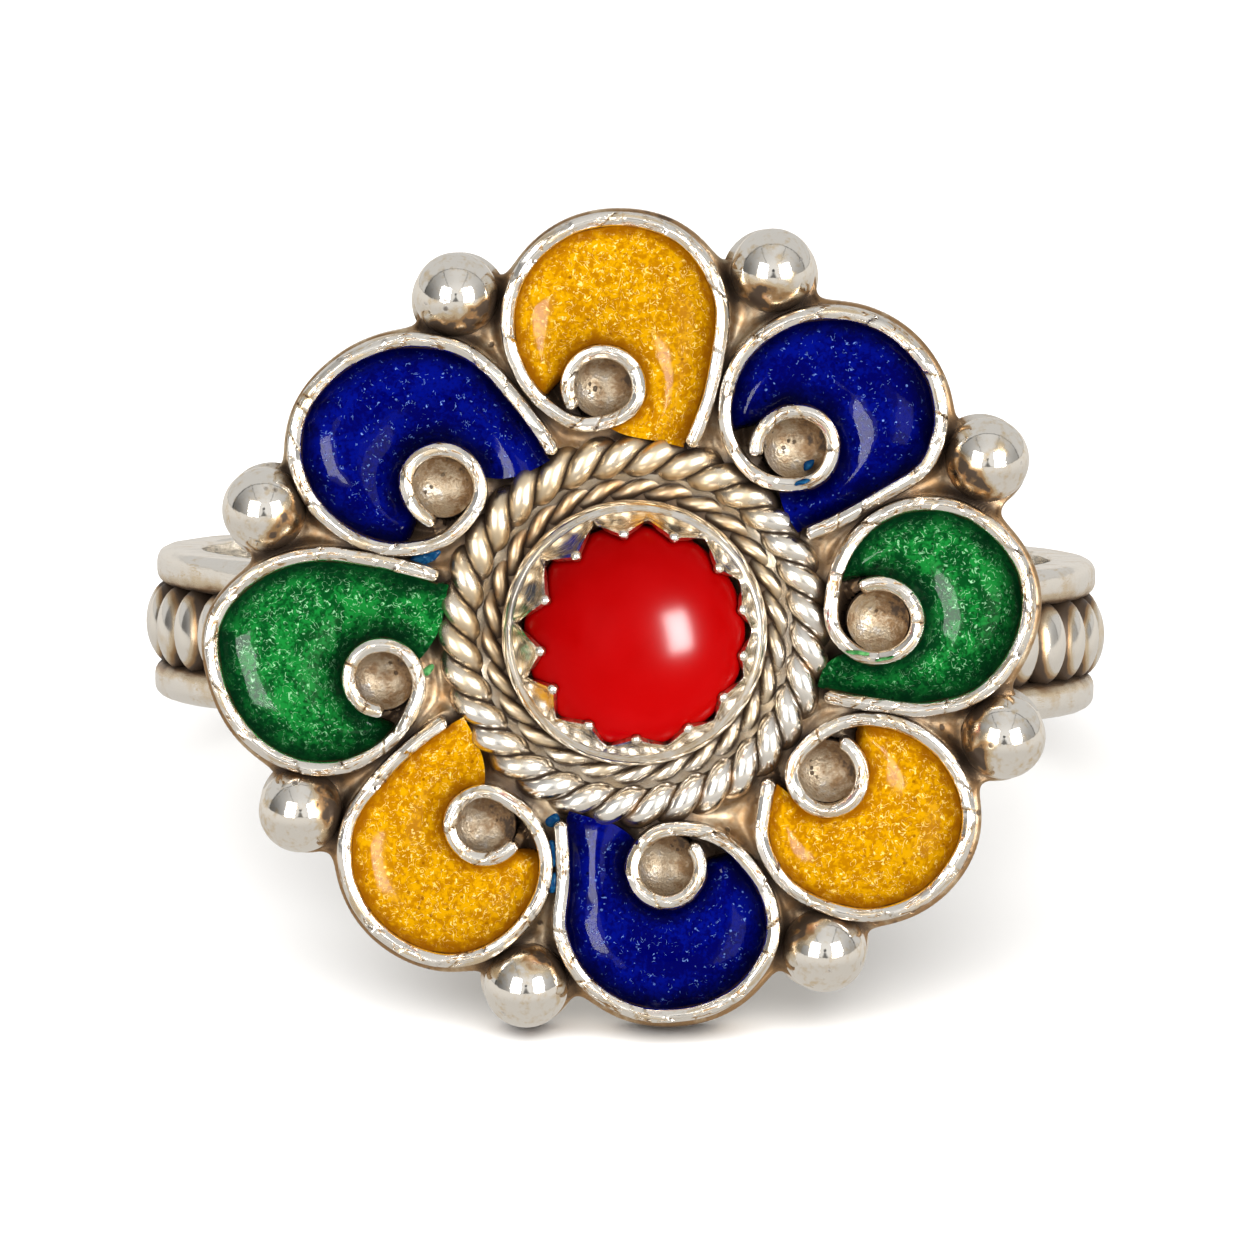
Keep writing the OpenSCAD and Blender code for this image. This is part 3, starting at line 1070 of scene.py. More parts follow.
@dataclass
class BackPlate:
    """Scalloped sheet that carries the whole head, with the solder that has run along its wires.

    Attributes:
        flange: Width that shows outside the scroll wires.
        ball_r: Radius of the sheet under a ball.
        web_r: Radius of the web between a ball and the petals.
        web_back: Distance of the web's middle inside the ball's.
        fillet: Softness of the inner corners of the outline.
        drop: Shift of the whole sheet under the wires.
        rounding: Radius of the sheet's edge.
        solder: Height of the solder at a wire's foot.
        run: Distance over which the solder thins out.
        ball_foot: Radius where the solder starts at a ball.
        rope_foot: Radius where it starts at the outer rope.
        cup_foot: Radius of the bare sheet under a cup.
        most_solder: Height that piled solder doesn't pass.
        widest: Radius that the whole outline stays inside.
        columns: Faces round the sheet.
        rows: Faces from its middle to its edge.
    """

    flange: float = 0.11
    ball_r: float = 0.86
    web_r: float = 1.1
    web_back: float = 0.85
    fillet: float = 0.16
    drop: Point = (0.03, -0.06)
    rounding: float = 0.14
    solder: float = 0.42
    run: float = 0.17
    ball_foot: float = 0.62
    rope_foot: float = 4.1
    cup_foot: float = 0.7
    most_solder: float = 0.5
    widest: float = 10.6
    columns: int = 960
    rows: int = 90

    def __post_init__(self) -> None:
        """Samples the wires' centre lines."""
        routes = [petal.route for petal in PETALS]
        self.lines = [np.array([p for p, _ in route.even(0, route.last, 0.1)]) for route in routes]

    def _wire_distances(self, spots: np.ndarray) -> list[np.ndarray]:
        """Distance of points from the side of each wire.

        Args:
            spots: The points.

        Returns:
            One array for each wire.
        """
        return [nearest(spots, line) - WIRE_T / 2 for line in self.lines]

    def _distance(self, spots: np.ndarray) -> np.ndarray:
        """Distance of points from the outline, negative inside.

        Args:
            spots: The points.

        Returns:
            One distance for each point.
        """
        shapes = [d - self.flange for d in self._wire_distances(spots)]
        for ball in BALL_SPOTS:
            inward = np.array(ball) * (1 - self.web_back / math.hypot(*ball))
            for middle, radius in ((np.array(ball), self.ball_r), (inward, self.web_r)):
                shapes.append(np.hypot(*(spots - middle).T) - radius)
        return -self.fillet * np.log(np.exp(-np.stack(shapes) / self.fillet).sum(0))

    def outline(self) -> np.ndarray:
        """Radius of the sheet along evenly spaced rays.

        Returns:
            The radii.
        """
        angles = np.arange(self.columns) * FULL_TURN / self.columns
        ways = np.stack([np.cos(angles), np.sin(angles)], axis=1)
        outer, step = np.full(self.columns, self.widest), 0.08
        inside = np.zeros(self.columns, bool)
        while not inside.all():
            inside |= self._distance(ways * outer[:, None] - self.drop) < 0
            outer = np.where(inside, outer, outer - step)
        low, high = outer, outer + step
        for _ in range(10):
            middle = (low + high) / 2
            within = self._distance(ways * middle[:, None] - self.drop) < 0
            low, high = np.where(within, middle, low), np.where(within, high, middle)
        return low

    def _height(self, spots: np.ndarray) -> np.ndarray:
        """Height of the solder that covers the sheet.

        Args:
            spots: Points of the sheet.

        Returns:
            Their heights.
        """
        feet = self._wire_distances(spots)
        feet += [np.hypot(*(spots - np.array(ball)).T) - self.ball_foot for ball in BALL_SPOTS]
        feet.append(np.hypot(*spots.T) - self.rope_foot)
        pile = sum(self.solder * np.exp(-np.maximum(foot, 0) / self.run) for foot in feet)
        curls = [np.array(petal.curl) for petal in PETALS]
        under_cup = np.any([np.hypot(*(spots - curl).T) < self.cup_foot for curl in curls], axis=0)
        return PLATE_T + self.most_solder * np.tanh(pile / self.most_solder) * ~under_cup

    def build(self, shop: Workshop) -> None:
        """Builds and dresses the sheet.

        Args:
            shop: The finishes.
        """
        edge = self.outline()
        angles = np.arange(self.columns) * FULL_TURN / self.columns
        ways = np.stack([np.cos(angles), np.sin(angles)], axis=1)
        shares = np.linspace(0, 1, self.rows) ** 0.8
        reach = (edge - self.rounding)[None] * shares[:, None]
        spots = (reach[..., None] * ways[None]).reshape(-1, 2)
        tops = self._height(spots).reshape(self.rows, self.columns)

        def shape(column: int, row: int) -> Vector:
            """Point of the sheet.

            Args:
                column: Number of its ray.
                row: Number from the middle of the front to the middle of the back.

            Returns:
                The point.
            """
            ray = column % self.columns
            if row < self.rows:
                return Vector((*(reach[row][ray] * ways[ray]), tops[row][ray]))
            turn = (row - self.rows + 1) / 5 * math.pi / 2
            brow = tops[-1][ray] - self.rounding
            if row < self.rows + 5:
                r = edge[ray] - self.rounding * (1 - math.sin(turn))
                return Vector((*(r * ways[ray]), brow + self.rounding * math.cos(turn)))
            r = edge[ray] if row == self.rows + 5 else 0.0
            return Vector((*(r * ways[ray]), 0.0))

        mesh = bmesh.new()
        grime = mesh.verts.layers.float.new("grime")
        drape_grid(mesh, self.columns, self.rows + 6, shape)
        close_up(mesh)
        for vert in mesh.verts:
            vert[grime] = -0.5 * (vert.co.z < 0.1)
            vert.co.z += 0.015 * waver(vert.co, 1.5, 2) * (vert.co.z > PLATE_T)
        place_piece(mesh, "back_plate", HEAD, shop.plate)


@dataclass(frozen=True)
class Facet:
    """One blow of the hammer on a wire.

    Attributes:
        start: Where it starts along the wire.
        end: Where it ends.
        lift: Height of the blow against the others.
        pitch: Its slope along the wire.
        roll: Its slope across the wire.
        skew: Slant of its far seam across the wire.
        seam: Depth of that seam, from 0 to 1.
    """

    start: float
    end: float
    lift: float
    pitch: float
    roll: float
    skew: float
    seam: float


@dataclass
class HammerMarks:
    """Uneven facets that a hammer left along a flat wire.

    Attributes:
        length: Length of the wire.
        seed: Chooses the marks.
        facets: The marks in order.
    """

    length: float
    seed: int
    facets: list[Facet] = field(init=False)

    def __post_init__(self) -> None:
        """Draws the facets in order along the wire."""
        rng = random.Random(self.seed)
        self.facets = []
        start = -0.2
        while start < self.length + 0.3:
            end = start + rng.choice((0.25, 0.4, 0.6, 1.0)) * rng.uniform(0.75, 1.35)
            slopes = rng.uniform(-0.08, 0.08), rng.uniform(-0.28, 0.28)
            seam = rng.choice((0.0, 0.2, 0.6, 1.0))
            lift, skew = rng.uniform(-0.02, 0.01), rng.uniform(-1.6, 1.6)
            self.facets.append(Facet(start, end, lift, *slopes, skew, seam))
            start = end

    def at(self, run: float, across: float) -> tuple[float, float]:
        """Shape of the wire's top at one place.

        Args:
            run: Distance along the wire.
            across: Distance from its middle.

        Returns:
            Height of the top and depth of a seam, from 0 to 1.
        """
        for before, facet in zip(self.facets, self.facets[1:]):
            end = facet.end + facet.skew * across
            if run <= end:
                break
        start = before.end + before.skew * across
        height = facet.lift + facet.pitch * (run - (start + end) / 2) + facet.roll * across
        near = max(0.0, 1 - (end - run) / 0.04) * facet.seam
        return height, max(near, max(0.0, 1 - abs(run - start) / 0.04) * before.seam)


@dataclass
class ScrollWires:
    """Flat hammered wires bent round the petals and into their curls.

    Attributes:
        pitch: Length of one step of the mesh.
        soft: Length of the rounded ends.
        edge: Radius of the edges.
        groove: Depth of a seam.
        crown: Rise of the middle over the edges.
    """

    pitch: float = 0.045
    soft: float = 0.13
    edge: float = 0.085
    groove: float = 0.03
    crown: float = 0.025

    def _section(self) -> list[tuple[float, float, bool]]:
        """Section across the wire, from one foot over the top to the other and back under it.

        Returns:
            Points of offset, height and whether the hammer reached them.
        """
        half, low = WIRE_T / 2, PLATE_T - 0.04
        shoulder = WIRE_TOP - self.edge
        left = []
        for k in range(4):
            turn = math.pi - k / 3 * math.pi / 2
            across = self.edge - half + self.edge * math.cos(turn)
            left.append((across, shoulder + self.edge * math.sin(turn), True))
        middle = [(x * half, WIRE_TOP + self.crown * (1 - abs(x)), True) for x in (-0.3, 0.0, 0.3)]
        right = [(-x, z, struck) for x, z, struck in reversed(left)]
        side = shoulder - 0.12
        return [
            (-half, low, False), (-half, side, False), *left, *middle, *right,
            (half, side, False), (half, low, False), (-half, low, False),
        ]

    def wire(self, number: int, petal: Petal, silver: bpy.types.Material) -> None:
        """Builds the wire of one petal.

        Args:
            number: Number of the petal, which seeds its marks.
            petal: The petal.
            silver: The wire's finish.
        """
        line = petal.route.even(0, petal.route.last, self.pitch)
        length = self.pitch * (len(line) - 1)
        marks = HammerMarks(length, 40 + number)
        section = self._section()
        seams: dict[tuple[int, int], float] = {}

        def shape(column: int, row: int) -> Vector:
            """Point of the hammered wire.

            Args:
                column: Number of the step along the wire.
                row: Number of the section's point.

            Returns:
                The point.
            """
            spot, way = line[column]
            across, height, struck = section[row]
            run = column * self.pitch
            end = min(1.0, min(run, length - run) / self.soft)
            taper = math.sqrt(max(0.1, 1 - (1 - end) ** 2))
            if struck:
                lift, seams[column, row] = marks.at(run, across)
                height += lift - self.groove * seams[column, row]
            sway = 0.02 * waver(Vector((run, number, 0)), 1.3, 1 if across > 0 else 2)
            left = Vector((-way.y, way.x)) * (across * taper + sway * struck)
            return Vector((*(spot + left), height - (1 - taper) * 0.15 * struck))

        mesh = bmesh.new()
        grime = mesh.verts.layers.float.new("grime")
        flow = mesh.verts.layers.float_vector.new("flow")
        for vert, column, row in drape_grid(mesh, len(line) - 1, len(section) - 1, shape):
            vert[grime] = 0.8 * seams.get((column, row), 0.0) ** 1.5
            vert[flow] = (column * self.pitch, section[row][0], number)
        close_up(mesh)
        place_piece(mesh, f"scroll_wire_{petal.name}", HEAD, silver, crease=50)

    def build(self, shop: Workshop) -> None:
        """Builds and dresses the eight wires.

        Args:
            shop: The finishes.
        """
        for number, petal in enumerate(PETALS):
            self.wire(number, petal, shop.wire)


@dataclass
class Cups:
    """Dished cups inside the curls.

    Attributes:
        rim_r: Radius of the rim.
        rim_z: Height of the rim.
        dish_r: Radius of the dish's sphere.
    """

    rim_r: float = 0.68
    rim_z: float = 1.2
    dish_r: float = 0.78

    def build(self, shop: Workshop) -> None:
        """Builds and dresses the eight cups.

        Args:
            shop: The finishes.
        """
        rim = self.rim_r - 0.04
        turn = math.asin(rim / self.dish_r)
        deep = self.rim_z - 0.02 + self.dish_r * math.cos(turn)
        arc = [turn * k / 12 for k in range(13)]
        bowl = [(self.dish_r * math.sin(a), deep - self.dish_r * math.cos(a)) for a in arc]
        lip = [(rim + 0.02, self.rim_z), (self.rim_r, self.rim_z - 0.03)]
        section = [*bowl, *lip, (self.rim_r, PLATE_T), (0, PLATE_T)]
        for number, petal in enumerate(PETALS):
            mesh = bmesh.new()
            grime = mesh.verts.layers.float.new("grime")
            spin_section(mesh, section, 40, closed=False)
            close_up(mesh)
            for vert in mesh.verts:
                # Painted shade: the dish is darker on its right and upper side and towards its rim under
                # the wire, with a little uneven oxide.
                shade = (0.8 * vert.co.x + 0.45 * vert.co.y + 0.5 * (vert.co.xy.length - 0.4)) / self.rim_r
                vert[grime] = 0.3 * shade + 0.12 * waver(vert.co, 2, number)
                vert.co.z += 0.02 * waver(vert.co, 2.4, number) * (vert.co.z > PLATE_T + 0.1)
            bmesh.ops.translate(mesh, vec=(*petal.curl, 0), verts=mesh.verts)
            place_piece(mesh, f"cup_{petal.name}", HEAD, shop.cup, crease=60)


@dataclass
class Balls:
    """Polished balls soldered between the petals.

    Attributes:
        radius: Radius of a ball.
        height: Height of its middle.
        solder: Width of the solder on the side of the petals.
        neck: Angle below the middle where the solder starts, in radians.
    """

    radius: float = 0.9
    height: float = 1.0
    solder: float = 0.3
    neck: float = -0.28

    def build(self, shop: Workshop) -> None:
        """Builds and dresses the eight balls.

        Args:
            shop: The finishes.
        """
        for number, (x, y) in enumerate(BALL_SPOTS):
            arc = np.linspace(math.pi / 2, self.neck, 32)
            section = [(self.radius * math.cos(a), self.height + self.radius * math.sin(a)) for a in arc]
            neck_r, neck_z = section[-1]
            drop = neck_z - PLATE_T + 0.03
            flare = [(neck_r + self.solder * (k / 5) ** 2.2, neck_z - drop * k / 5) for k in range(1, 6)]
            mesh = bmesh.new()
            grime = mesh.verts.layers.float.new("grime")
            spin_section(mesh, [*section, *flare, (0, flare[-1][1])], 80, closed=False)
            close_up(mesh)
            outward = Vector((x, y)).normalized()
            for vert in mesh.verts:
                flat = vert.co.xy
                # Tarnish all over and in blotches, oxide where the ball meets the petals, and a painted
                # dark reflection on the ball's lower side.
                toward = (-flat.dot(outward) - 0.35 * vert.co.y) / self.radius - 0.25
                blotch = waver(vert.co, 1.8, number + 3) + 0.7 * waver(vert.co, 5, number)
                crescent = min(1.0, max(0.0, toward * 3.5))
                vert[grime] = 0.13 + crescent * (0.62 + 0.6 * blotch) + 0.4 * max(0.0, blotch - 0.3)
                if vert.co.z < neck_z and flat.length > neck_r:
                    share = (1 - flat.normalized().dot(outward)) / 2
                    vert.co.xy = flat.normalized() * (neck_r + (flat.length - neck_r) * share)
                vert.co += vert.co.normalized() * 0.008 * waver(vert.co, 0.9, number)
            bmesh.ops.translate(mesh, vec=(x, y, 0), verts=mesh.verts)
            place_piece(mesh, f"ball_{number + 1}", HEAD, shop.ball, crease=60)


@dataclass
class Rope:
    """Two wires twisted together and laid round the bezel.

    Attributes:
        name: Name of the rope.
        ring_r: Radius of its centre line.
        thickness: Diameter of the rope.
        turns: Turns of the twist.
        fill: Thickness of one strand as a share of half the rope.
        base: Height of its underside.
        flatten: Depth of the flat that wear has left on top.
        sides: Faces round a strand.
        tarnish: Oxide that it has more than the other pieces.
    """

    name: str
    ring_r: float
    thickness: float
    turns: int
    fill: float = 1.14
    base: float = PLATE_T - 0.05
    flatten: float = 0.02
    sides: int = 16
    tarnish: float = 0.0

    def build(self, shop: Workshop) -> None:
        """Builds and dresses both strands.

        Args:
            shop: The finishes.
        """
        strand_r = self.thickness / 4 * self.fill
        coil_r = self.thickness / 2 - strand_r
        middle = self.base + self.thickness / 2
        top = self.base + self.thickness - self.flatten
        stations = self.turns * 30
        mesh = bmesh.new()
        grime = mesh.verts.layers.float.new("grime")

        def centre(turn: float, phase: float) -> Vector:
            """Centre of a strand.

            Args:
                turn: Angle round the bezel.
                phase: Angle of the strand in the twist.

            Returns:
                The centre.
            """
            twist = self.turns * turn + phase + 0.12 * math.sin(3 * turn + self.ring_r)
            r, z = coil_r * math.cos(twist), coil_r * math.sin(twist)
            return vector_at(self.ring_r + r, turn, middle + z)

        for phase in (0.0, math.pi):

            def shape(column: int, row: int, phase: float = phase) -> Vector:
                """Point of a strand.

                Args:
                    column: Number of the step round the bezel.
                    row: Number round the strand.
                    phase: Angle of the strand in the twist.

                Returns:
                    The point.
                """
                turn = FULL_TURN * column / stations
                spot = centre(turn, phase)
                way = (centre(turn + 0.01, phase) - centre(turn - 0.01, phase)).normalized()
                side = (spot - vector_at(self.ring_r, turn, middle)).normalized()
                side = (side - side.dot(way) * way).normalized()
                angle = FULL_TURN * row / self.sides
                point = spot + strand_r * (side * math.cos(angle) + way.cross(side) * math.sin(angle))
                over = point.z - top
                point.z = top + over * 0.45 if over > 0 else point.z
                return point

            drape_grid(mesh, stations, self.sides, shape)
        close_up(mesh)
        # Extra tarnish of the rope, plus painted shade: darker towards the top and the left of the head,
        # lighter towards the lower right.
        for vert in mesh.verts:
            vert[grime] = self.tarnish + (0.14 * vert.co.y - 0.1 * vert.co.x) / self.ring_r
        place_piece(mesh, self.name, HEAD, shop.rope, crease=60)


@dataclass
class RopeBed:
    """Solder under and between the two ropes.

    Attributes:
        section: Points of (radius, height).
    """

    section: tuple[Point, ...] = (
        (2.72, 0.45), (2.72, 0.82), (2.95, 0.78), (3.2, 0.9),
        (3.37, 1.0), (3.5, 0.94), (3.95, 0.74), (4.15, 0.45),
    )

    def build(self, shop: Workshop) -> None:
        """Builds and dresses the bed.

        Args:
            shop: The finishes.
        """
        mesh = bmesh.new()
        spin_section(mesh, self.section, 180, closed=True)
        close_up(mesh)
        for vert in mesh.verts:
            vert.co.z += 0.05 * waver(vert.co, 2.2, 6)
        place_piece(mesh, "rope_bed", HEAD, shop.rope)


@dataclass
class Coral:
    """Round coral with an elliptic dome.

    Attributes:
        radius: Radius at its widest.
        girdle_z: Height of its widest part.
        rise: Height of the dome above it.
        shift: Its middle from the bezel's centre.
    """

    radius: float = 2.36
    girdle_z: float = 1.7
    rise: float = 1.8
    shift: Point = (0.0, -0.05)

    def dome(self, r: float, clear: float = 0.0) -> float:
        """Height of the dome, or of a skin round it.

        Args:
            r: Distance from the middle.
            clear: Thickness of the skin.

        Returns:
            The height above the head's back.
        """
        flat = min(1.0, r / (self.radius + clear))
        return self.girdle_z + (self.rise + clear) * math.sqrt(1 - flat * flat)

    def build(self, shop: Workshop) -> None:
        """Builds and dresses the stone.

        Args:
            shop: The finishes.
        """
        arc = [math.pi / 2 * k / 40 for k in range(41)]
        dome = [(self.radius * math.sin(a), self.girdle_z + self.rise * math.cos(a)) for a in arc]
        low = PLATE_T + 0.03
        mesh = bmesh.new()
        spin_section(mesh, [*dome, (self.radius, low), (0, low)], 144, closed=False)
        close_up(mesh)
        bmesh.ops.translate(mesh, vec=(*self.shift, 0), verts=mesh.verts)
        place_piece(mesh, "coral", HEAD, shop.coral, "coral", 50)


@dataclass
class Bezel:
    """Thin wall round the coral, with teeth bent over it.

    Attributes:
        coral: The stone that it holds.
        tips: Angle of each tooth in degrees, anticlockwise from the right.
        wall_r: Outer radius of the wall.
        shoulder: Points of (radius, height) of the rounded shoulder above the wall.
        sheet: Thickness of the sheet.
        clear: Distance of its outer face from the coral.
        valley_r: Radius of the valleys between the teeth.
        tip_r: Radius of the teeth's tips.
        tip_ball: Radius of the little ball on a tip.
        nudge: Shift of the teeth to the right of the coral's middle.
        columns: Faces from a tooth's tip to the next valley.
        rows: Faces from the wall's foot to its edge.
    """

    coral: Coral
    tips: tuple[float, ...] = (-11, 13, 38.5, 68, 96, 126, 158, 189, 213, 243, 271, 300, 325)
    wall_r: float = 2.8
    shoulder: tuple[Point, ...] = ((2.83, 1.2), (2.83, 1.56), (2.8, 1.72), (2.73, 1.83), (2.61, 1.88))
    sheet: float = 0.1
    clear: float = 0.14
    valley_r: float = 2.49
    tip_r: float = 2.18
    tip_ball: float = 0.12
    nudge: float = 0.15
    columns: int = 12
    rows: int = 24

    def _profile(self, share: float, edge_r: float) -> Point:
        """Point of the sheet's outer face.

        Args:
            share: Place from the foot at 0 to the edge at 1.
            edge_r: Radius of the edge.

        Returns:
            Radius and height.
        """
        foot = [(self.wall_r, PLATE_T - 0.05), *self.shoulder]
        steps = len(foot) - 1
        last_r, last_z = foot[-1]
        if share < 0.55:
            place = share / 0.55 * steps
            k = min(int(place), steps - 1)
            u = place - k
            (r0, z0), (r1, z1) = foot[k], foot[k + 1]
            return r0 + (r1 - r0) * u, z0 + (z1 - z0) * u
        u = (share - 0.55) / 0.45
        r = last_r + (edge_r - last_r) * u
        edge_z = max(self.coral.dome(edge_r, self.clear), last_z + 0.05)
        return r, last_z + (edge_z - last_z) * u**0.9

    def build(self, shop: Workshop) -> None:
        """Builds and dresses the bezel.

        Args:
            shop: The finishes.
        """
        rng = random.Random(5)
        keys: list[tuple[float, float, float]] = []
        for k, tip in enumerate(self.tips):
            following = self.tips[(k + 1) % len(self.tips)] + (360 if k == len(self.tips) - 1 else 0)
            keys.append((tip, self.tip_r + rng.uniform(-0.02, 0.02), 1))
            between = (tip + following) / 2 + rng.uniform(-1.5, 1.5)
            keys.append((between, self.valley_r + rng.uniform(-0.05, 0.03), 0))
        keys.append((keys[0][0] + 360, keys[0][1], 1))
        count = (len(keys) - 1) * self.columns

        def edge(column: int) -> tuple[float, float]:
            """Place of the sheet's edge.

            Args:
                column: Number of the step round the bezel.

            Returns:
                Angle in degrees and radius.
            """
            k, part = divmod(column, self.columns)
            u = part / self.columns
            (a, r_a, tip_a), (b, r_b, _) = keys[k], keys[min(k + 1, len(keys) - 1)]
            bent = u**1.15 if tip_a else 1 - (1 - u) ** 1.15
            angle = a + (b - a) * u
            nudge = self.nudge * math.cos(math.radians(angle)) * (1 - bent if tip_a else bent)
            return angle, r_a + (r_b - r_a) * bent + nudge

        def shape(column: int, row: int) -> Vector:
            """Point of the sheet's outer face.

            Args:
                column: Number of the step round the bezel.
                row: Number from the foot to the edge.

            Returns:
                The point.
            """
            angle, edge_r = edge(column)
            r, z = self._profile(row / self.rows, edge_r)
            point = vector_at(r, math.radians(angle), z)
            dent = 0.008 * waver(point, 1.6, 4) + 0.003 * waver(point, 4, 1)
            return point + point.normalized() * dent

        mesh = bmesh.new()
        flow = mesh.verts.layers.float_vector.new("flow")
        grime = mesh.verts.layers.float.new("grime")
        # A darker band just inside the sheet's edge, and a painted highlight along the edge itself.
        for vert, column, row in drape_grid(mesh, count, self.rows, shape):
            vert[flow] = (column / count * FULL_TURN * self.wall_r, row / self.rows * 1.8, 0)
            vert[grime] = 0.3 if self.rows - 4 < row < self.rows - 1 else -0.2 * (row >= self.rows - 1)
        bmesh.ops.remove_doubles(mesh, verts=mesh.verts, dist=SAME_SPOT)
        bmesh.ops.recalc_face_normals(mesh, faces=mesh.faces)
        outward = sum(f.normal.dot(f.calc_center_median() * Vector((1, 1, 0))) for f in mesh.faces)
        if outward < 0:
            bmesh.ops.reverse_faces(mesh, faces=mesh.faces)
        bmesh.ops.solidify(mesh, geom=list(mesh.faces), thickness=self.sheet)
        for angle, r, _ in keys[:-1:2]:
            r += self.nudge * math.cos(math.radians(angle))
            height = self.coral.dome(r, self.clear - 0.03)
            place = Matrix.Translation(vector_at(r, math.radians(angle), height))
            bmesh.ops.create_icosphere(mesh, subdivisions=2, radius=self.tip_ball, matrix=place)
        place_piece(mesh, "bezel", HEAD, shop.bezel, crease=45)


@dataclass
class Enamels:
    """Enamel melted into the petals, where it climbs the wires and dips between them.

    Attributes:
        floor: Height of the dip above the head's back.
        climb: Height that the enamel climbs at a wire.
        spread: Distance over which the climb fades.
        tail: Distance over which it thins out at its free ends.
        grid: Size of the mesh's cells.
        tuck: Depth that the enamel reaches under a wire.
    """

    floor: float = 0.93
    climb: float = 0.56
    spread: float = 0.42
    tail: float = 0.35
    grid: float = 0.085
    tuck: float = 0.02

    def _loop(self, petal: Petal) -> tuple[list[Vector], list[Vector], list[Vector]]:
        """Outline of the enamel.

        Args:
            petal: The petal.

        Returns:
            The outline's stretch along the outer turn, the one across the narrow end and round the curl,
            and the stretch that closes it beside the rope.
        """
        leave, start, stop = petal.ends
        off = WIRE_T / 2 - self.tuck
        outer = [p for p in petal.route.beside(0, leave, self.grid, off) if p.length > petal.end_r]
        curl = [p for p in petal.route.beside(start, stop, self.grid, -off) if p.length > petal.end_r]
        first, last = (math.atan2(p.y, p.x) for p in (curl[-1], outer[0]))
        sweep = (last - first + math.pi) % FULL_TURN - math.pi
        steps = max(4, round(abs(sweep) * petal.end_r / self.grid))
        away = curl[-1].length - petal.end_r
        rest = []
        for k in range(steps + 1):
            angle = first + sweep * k / steps
            r = petal.end_r + away * (1 - k / steps) ** 4 + 0.04 * waver(vector_at(4, angle, 0), 1.5, 3)
            rest.append(vector_at(r, angle, 0).xy)
        return outer, curl, rest

    def fill(self, number: int, petal: Petal, enamel: bpy.types.Material) -> None:
        """Builds the enamel of one petal.

        Args:
            number: Number of the petal, which seeds its unevenness.
            petal: The petal.
            enamel: The finish.
        """
        outer, curl, rest = self._loop(petal)
        loop = outer + curl + rest
        mesh = bmesh.new()
        inset = mesh.verts.layers.float.new("inset")
        mesh.faces.new([mesh.verts.new((*p, 0)) for p in loop])
        bmesh.ops.remove_doubles(mesh, verts=mesh.verts, dist=0.02)
        for axis in (0, 1):
            low, high = min(p[axis] for p in loop), max(p[axis] for p in loop)
            for k in range(1, math.ceil((high - low) / self.grid)):
                cut = Vector((0, 0, 0))
                cut[axis] = low + k * self.grid
                normal = Vector((axis == 0, axis == 1, 0))
                geometry = list(mesh.verts) + list(mesh.edges) + list(mesh.faces)
                bmesh.ops.bisect_plane(
                    mesh, geom=geometry, dist=SAME_SPOT, plane_co=cut, plane_no=normal
                )
        self._raise(mesh, inset, number, petal, outer, curl)
        if next(iter(mesh.faces)).normal.z < 0:
            bmesh.ops.reverse_faces(mesh, faces=mesh.faces)
        rim = [e for e in mesh.edges if e.is_boundary]
        skirt = bmesh.ops.extrude_edge_only(mesh, edges=rim)["geom"]
        for vert in (v for v in skirt if isinstance(v, bmesh.types.BMVert)):
            vert.co.z = PLATE_T + 0.02
        close_up(mesh)
        place_piece(mesh, petal.node, HEAD, enamel, petal.node, 60)

    def _raise(
        self,
        mesh: bmesh.types.BMesh,
        inset: bmesh.types.BMLayerItem,
        number: int,
        petal: Petal,
        outer: Sequence[Vector],
        curl: Sequence[Vector],
    ) -> None:
        """Lifts the flat enamel to its dished surface.

        Args:
            mesh: The flat enamel.
            inset: Layer that keeps each point's distance from the wires.
            number: Number of the petal.
            petal: The petal.
            outer: Outline along the outer turn.
            curl: Outline round the curl.
        """
        spots = np.array([v.co.xy for v in mesh.verts])
        wall = nearest(spots, np.array([*outer, *curl]))
        free = nearest(spots, np.linspace(np.array(outer[-1]), np.array(curl[0]), 12))
        rope = np.hypot(*spots.T) - petal.end_r
        climb = self.climb * np.exp(-wall / self.spread)
        surface = self.floor + climb + 0.06 * np.exp(-np.maximum(rope, 0) / 0.25)
        thin = np.clip(free / self.tail, 0, 1)
        surface = PLATE_T + 0.04 + (surface - PLATE_T - 0.04) * np.sqrt(thin * (2 - thin))
        for vert, height, distance in zip(mesh.verts, surface, np.minimum(wall, free * 1.4)):
            sway = 0.03 * waver(vert.co, 0.8, number) + 0.008 * waver(vert.co, 2.6, number)
            vert.co.z = height + sway * min(1.0, distance * 2)
            vert[inset] = distance
        mesh.normal_update()

    def build(self, shop: Workshop) -> None:
        """Builds and dresses the eight fills.

        Args:
            shop: The finishes.
        """
        for number, petal in enumerate(PETALS):
            self.fill(number, petal, shop.enamels[petal.glaze])


@dataclass(frozen=True)
class Spill:
    """A little enamel that ran outside its petal.

    Attributes:
        petal: Petal that it came from.
        place: Its middle, with the height above the head's back.
        size: Length and width.
        turn: Angle of its length in degrees.
    """

    petal: str
    place: tuple[float, float, float]
    size: Point
    turn: float


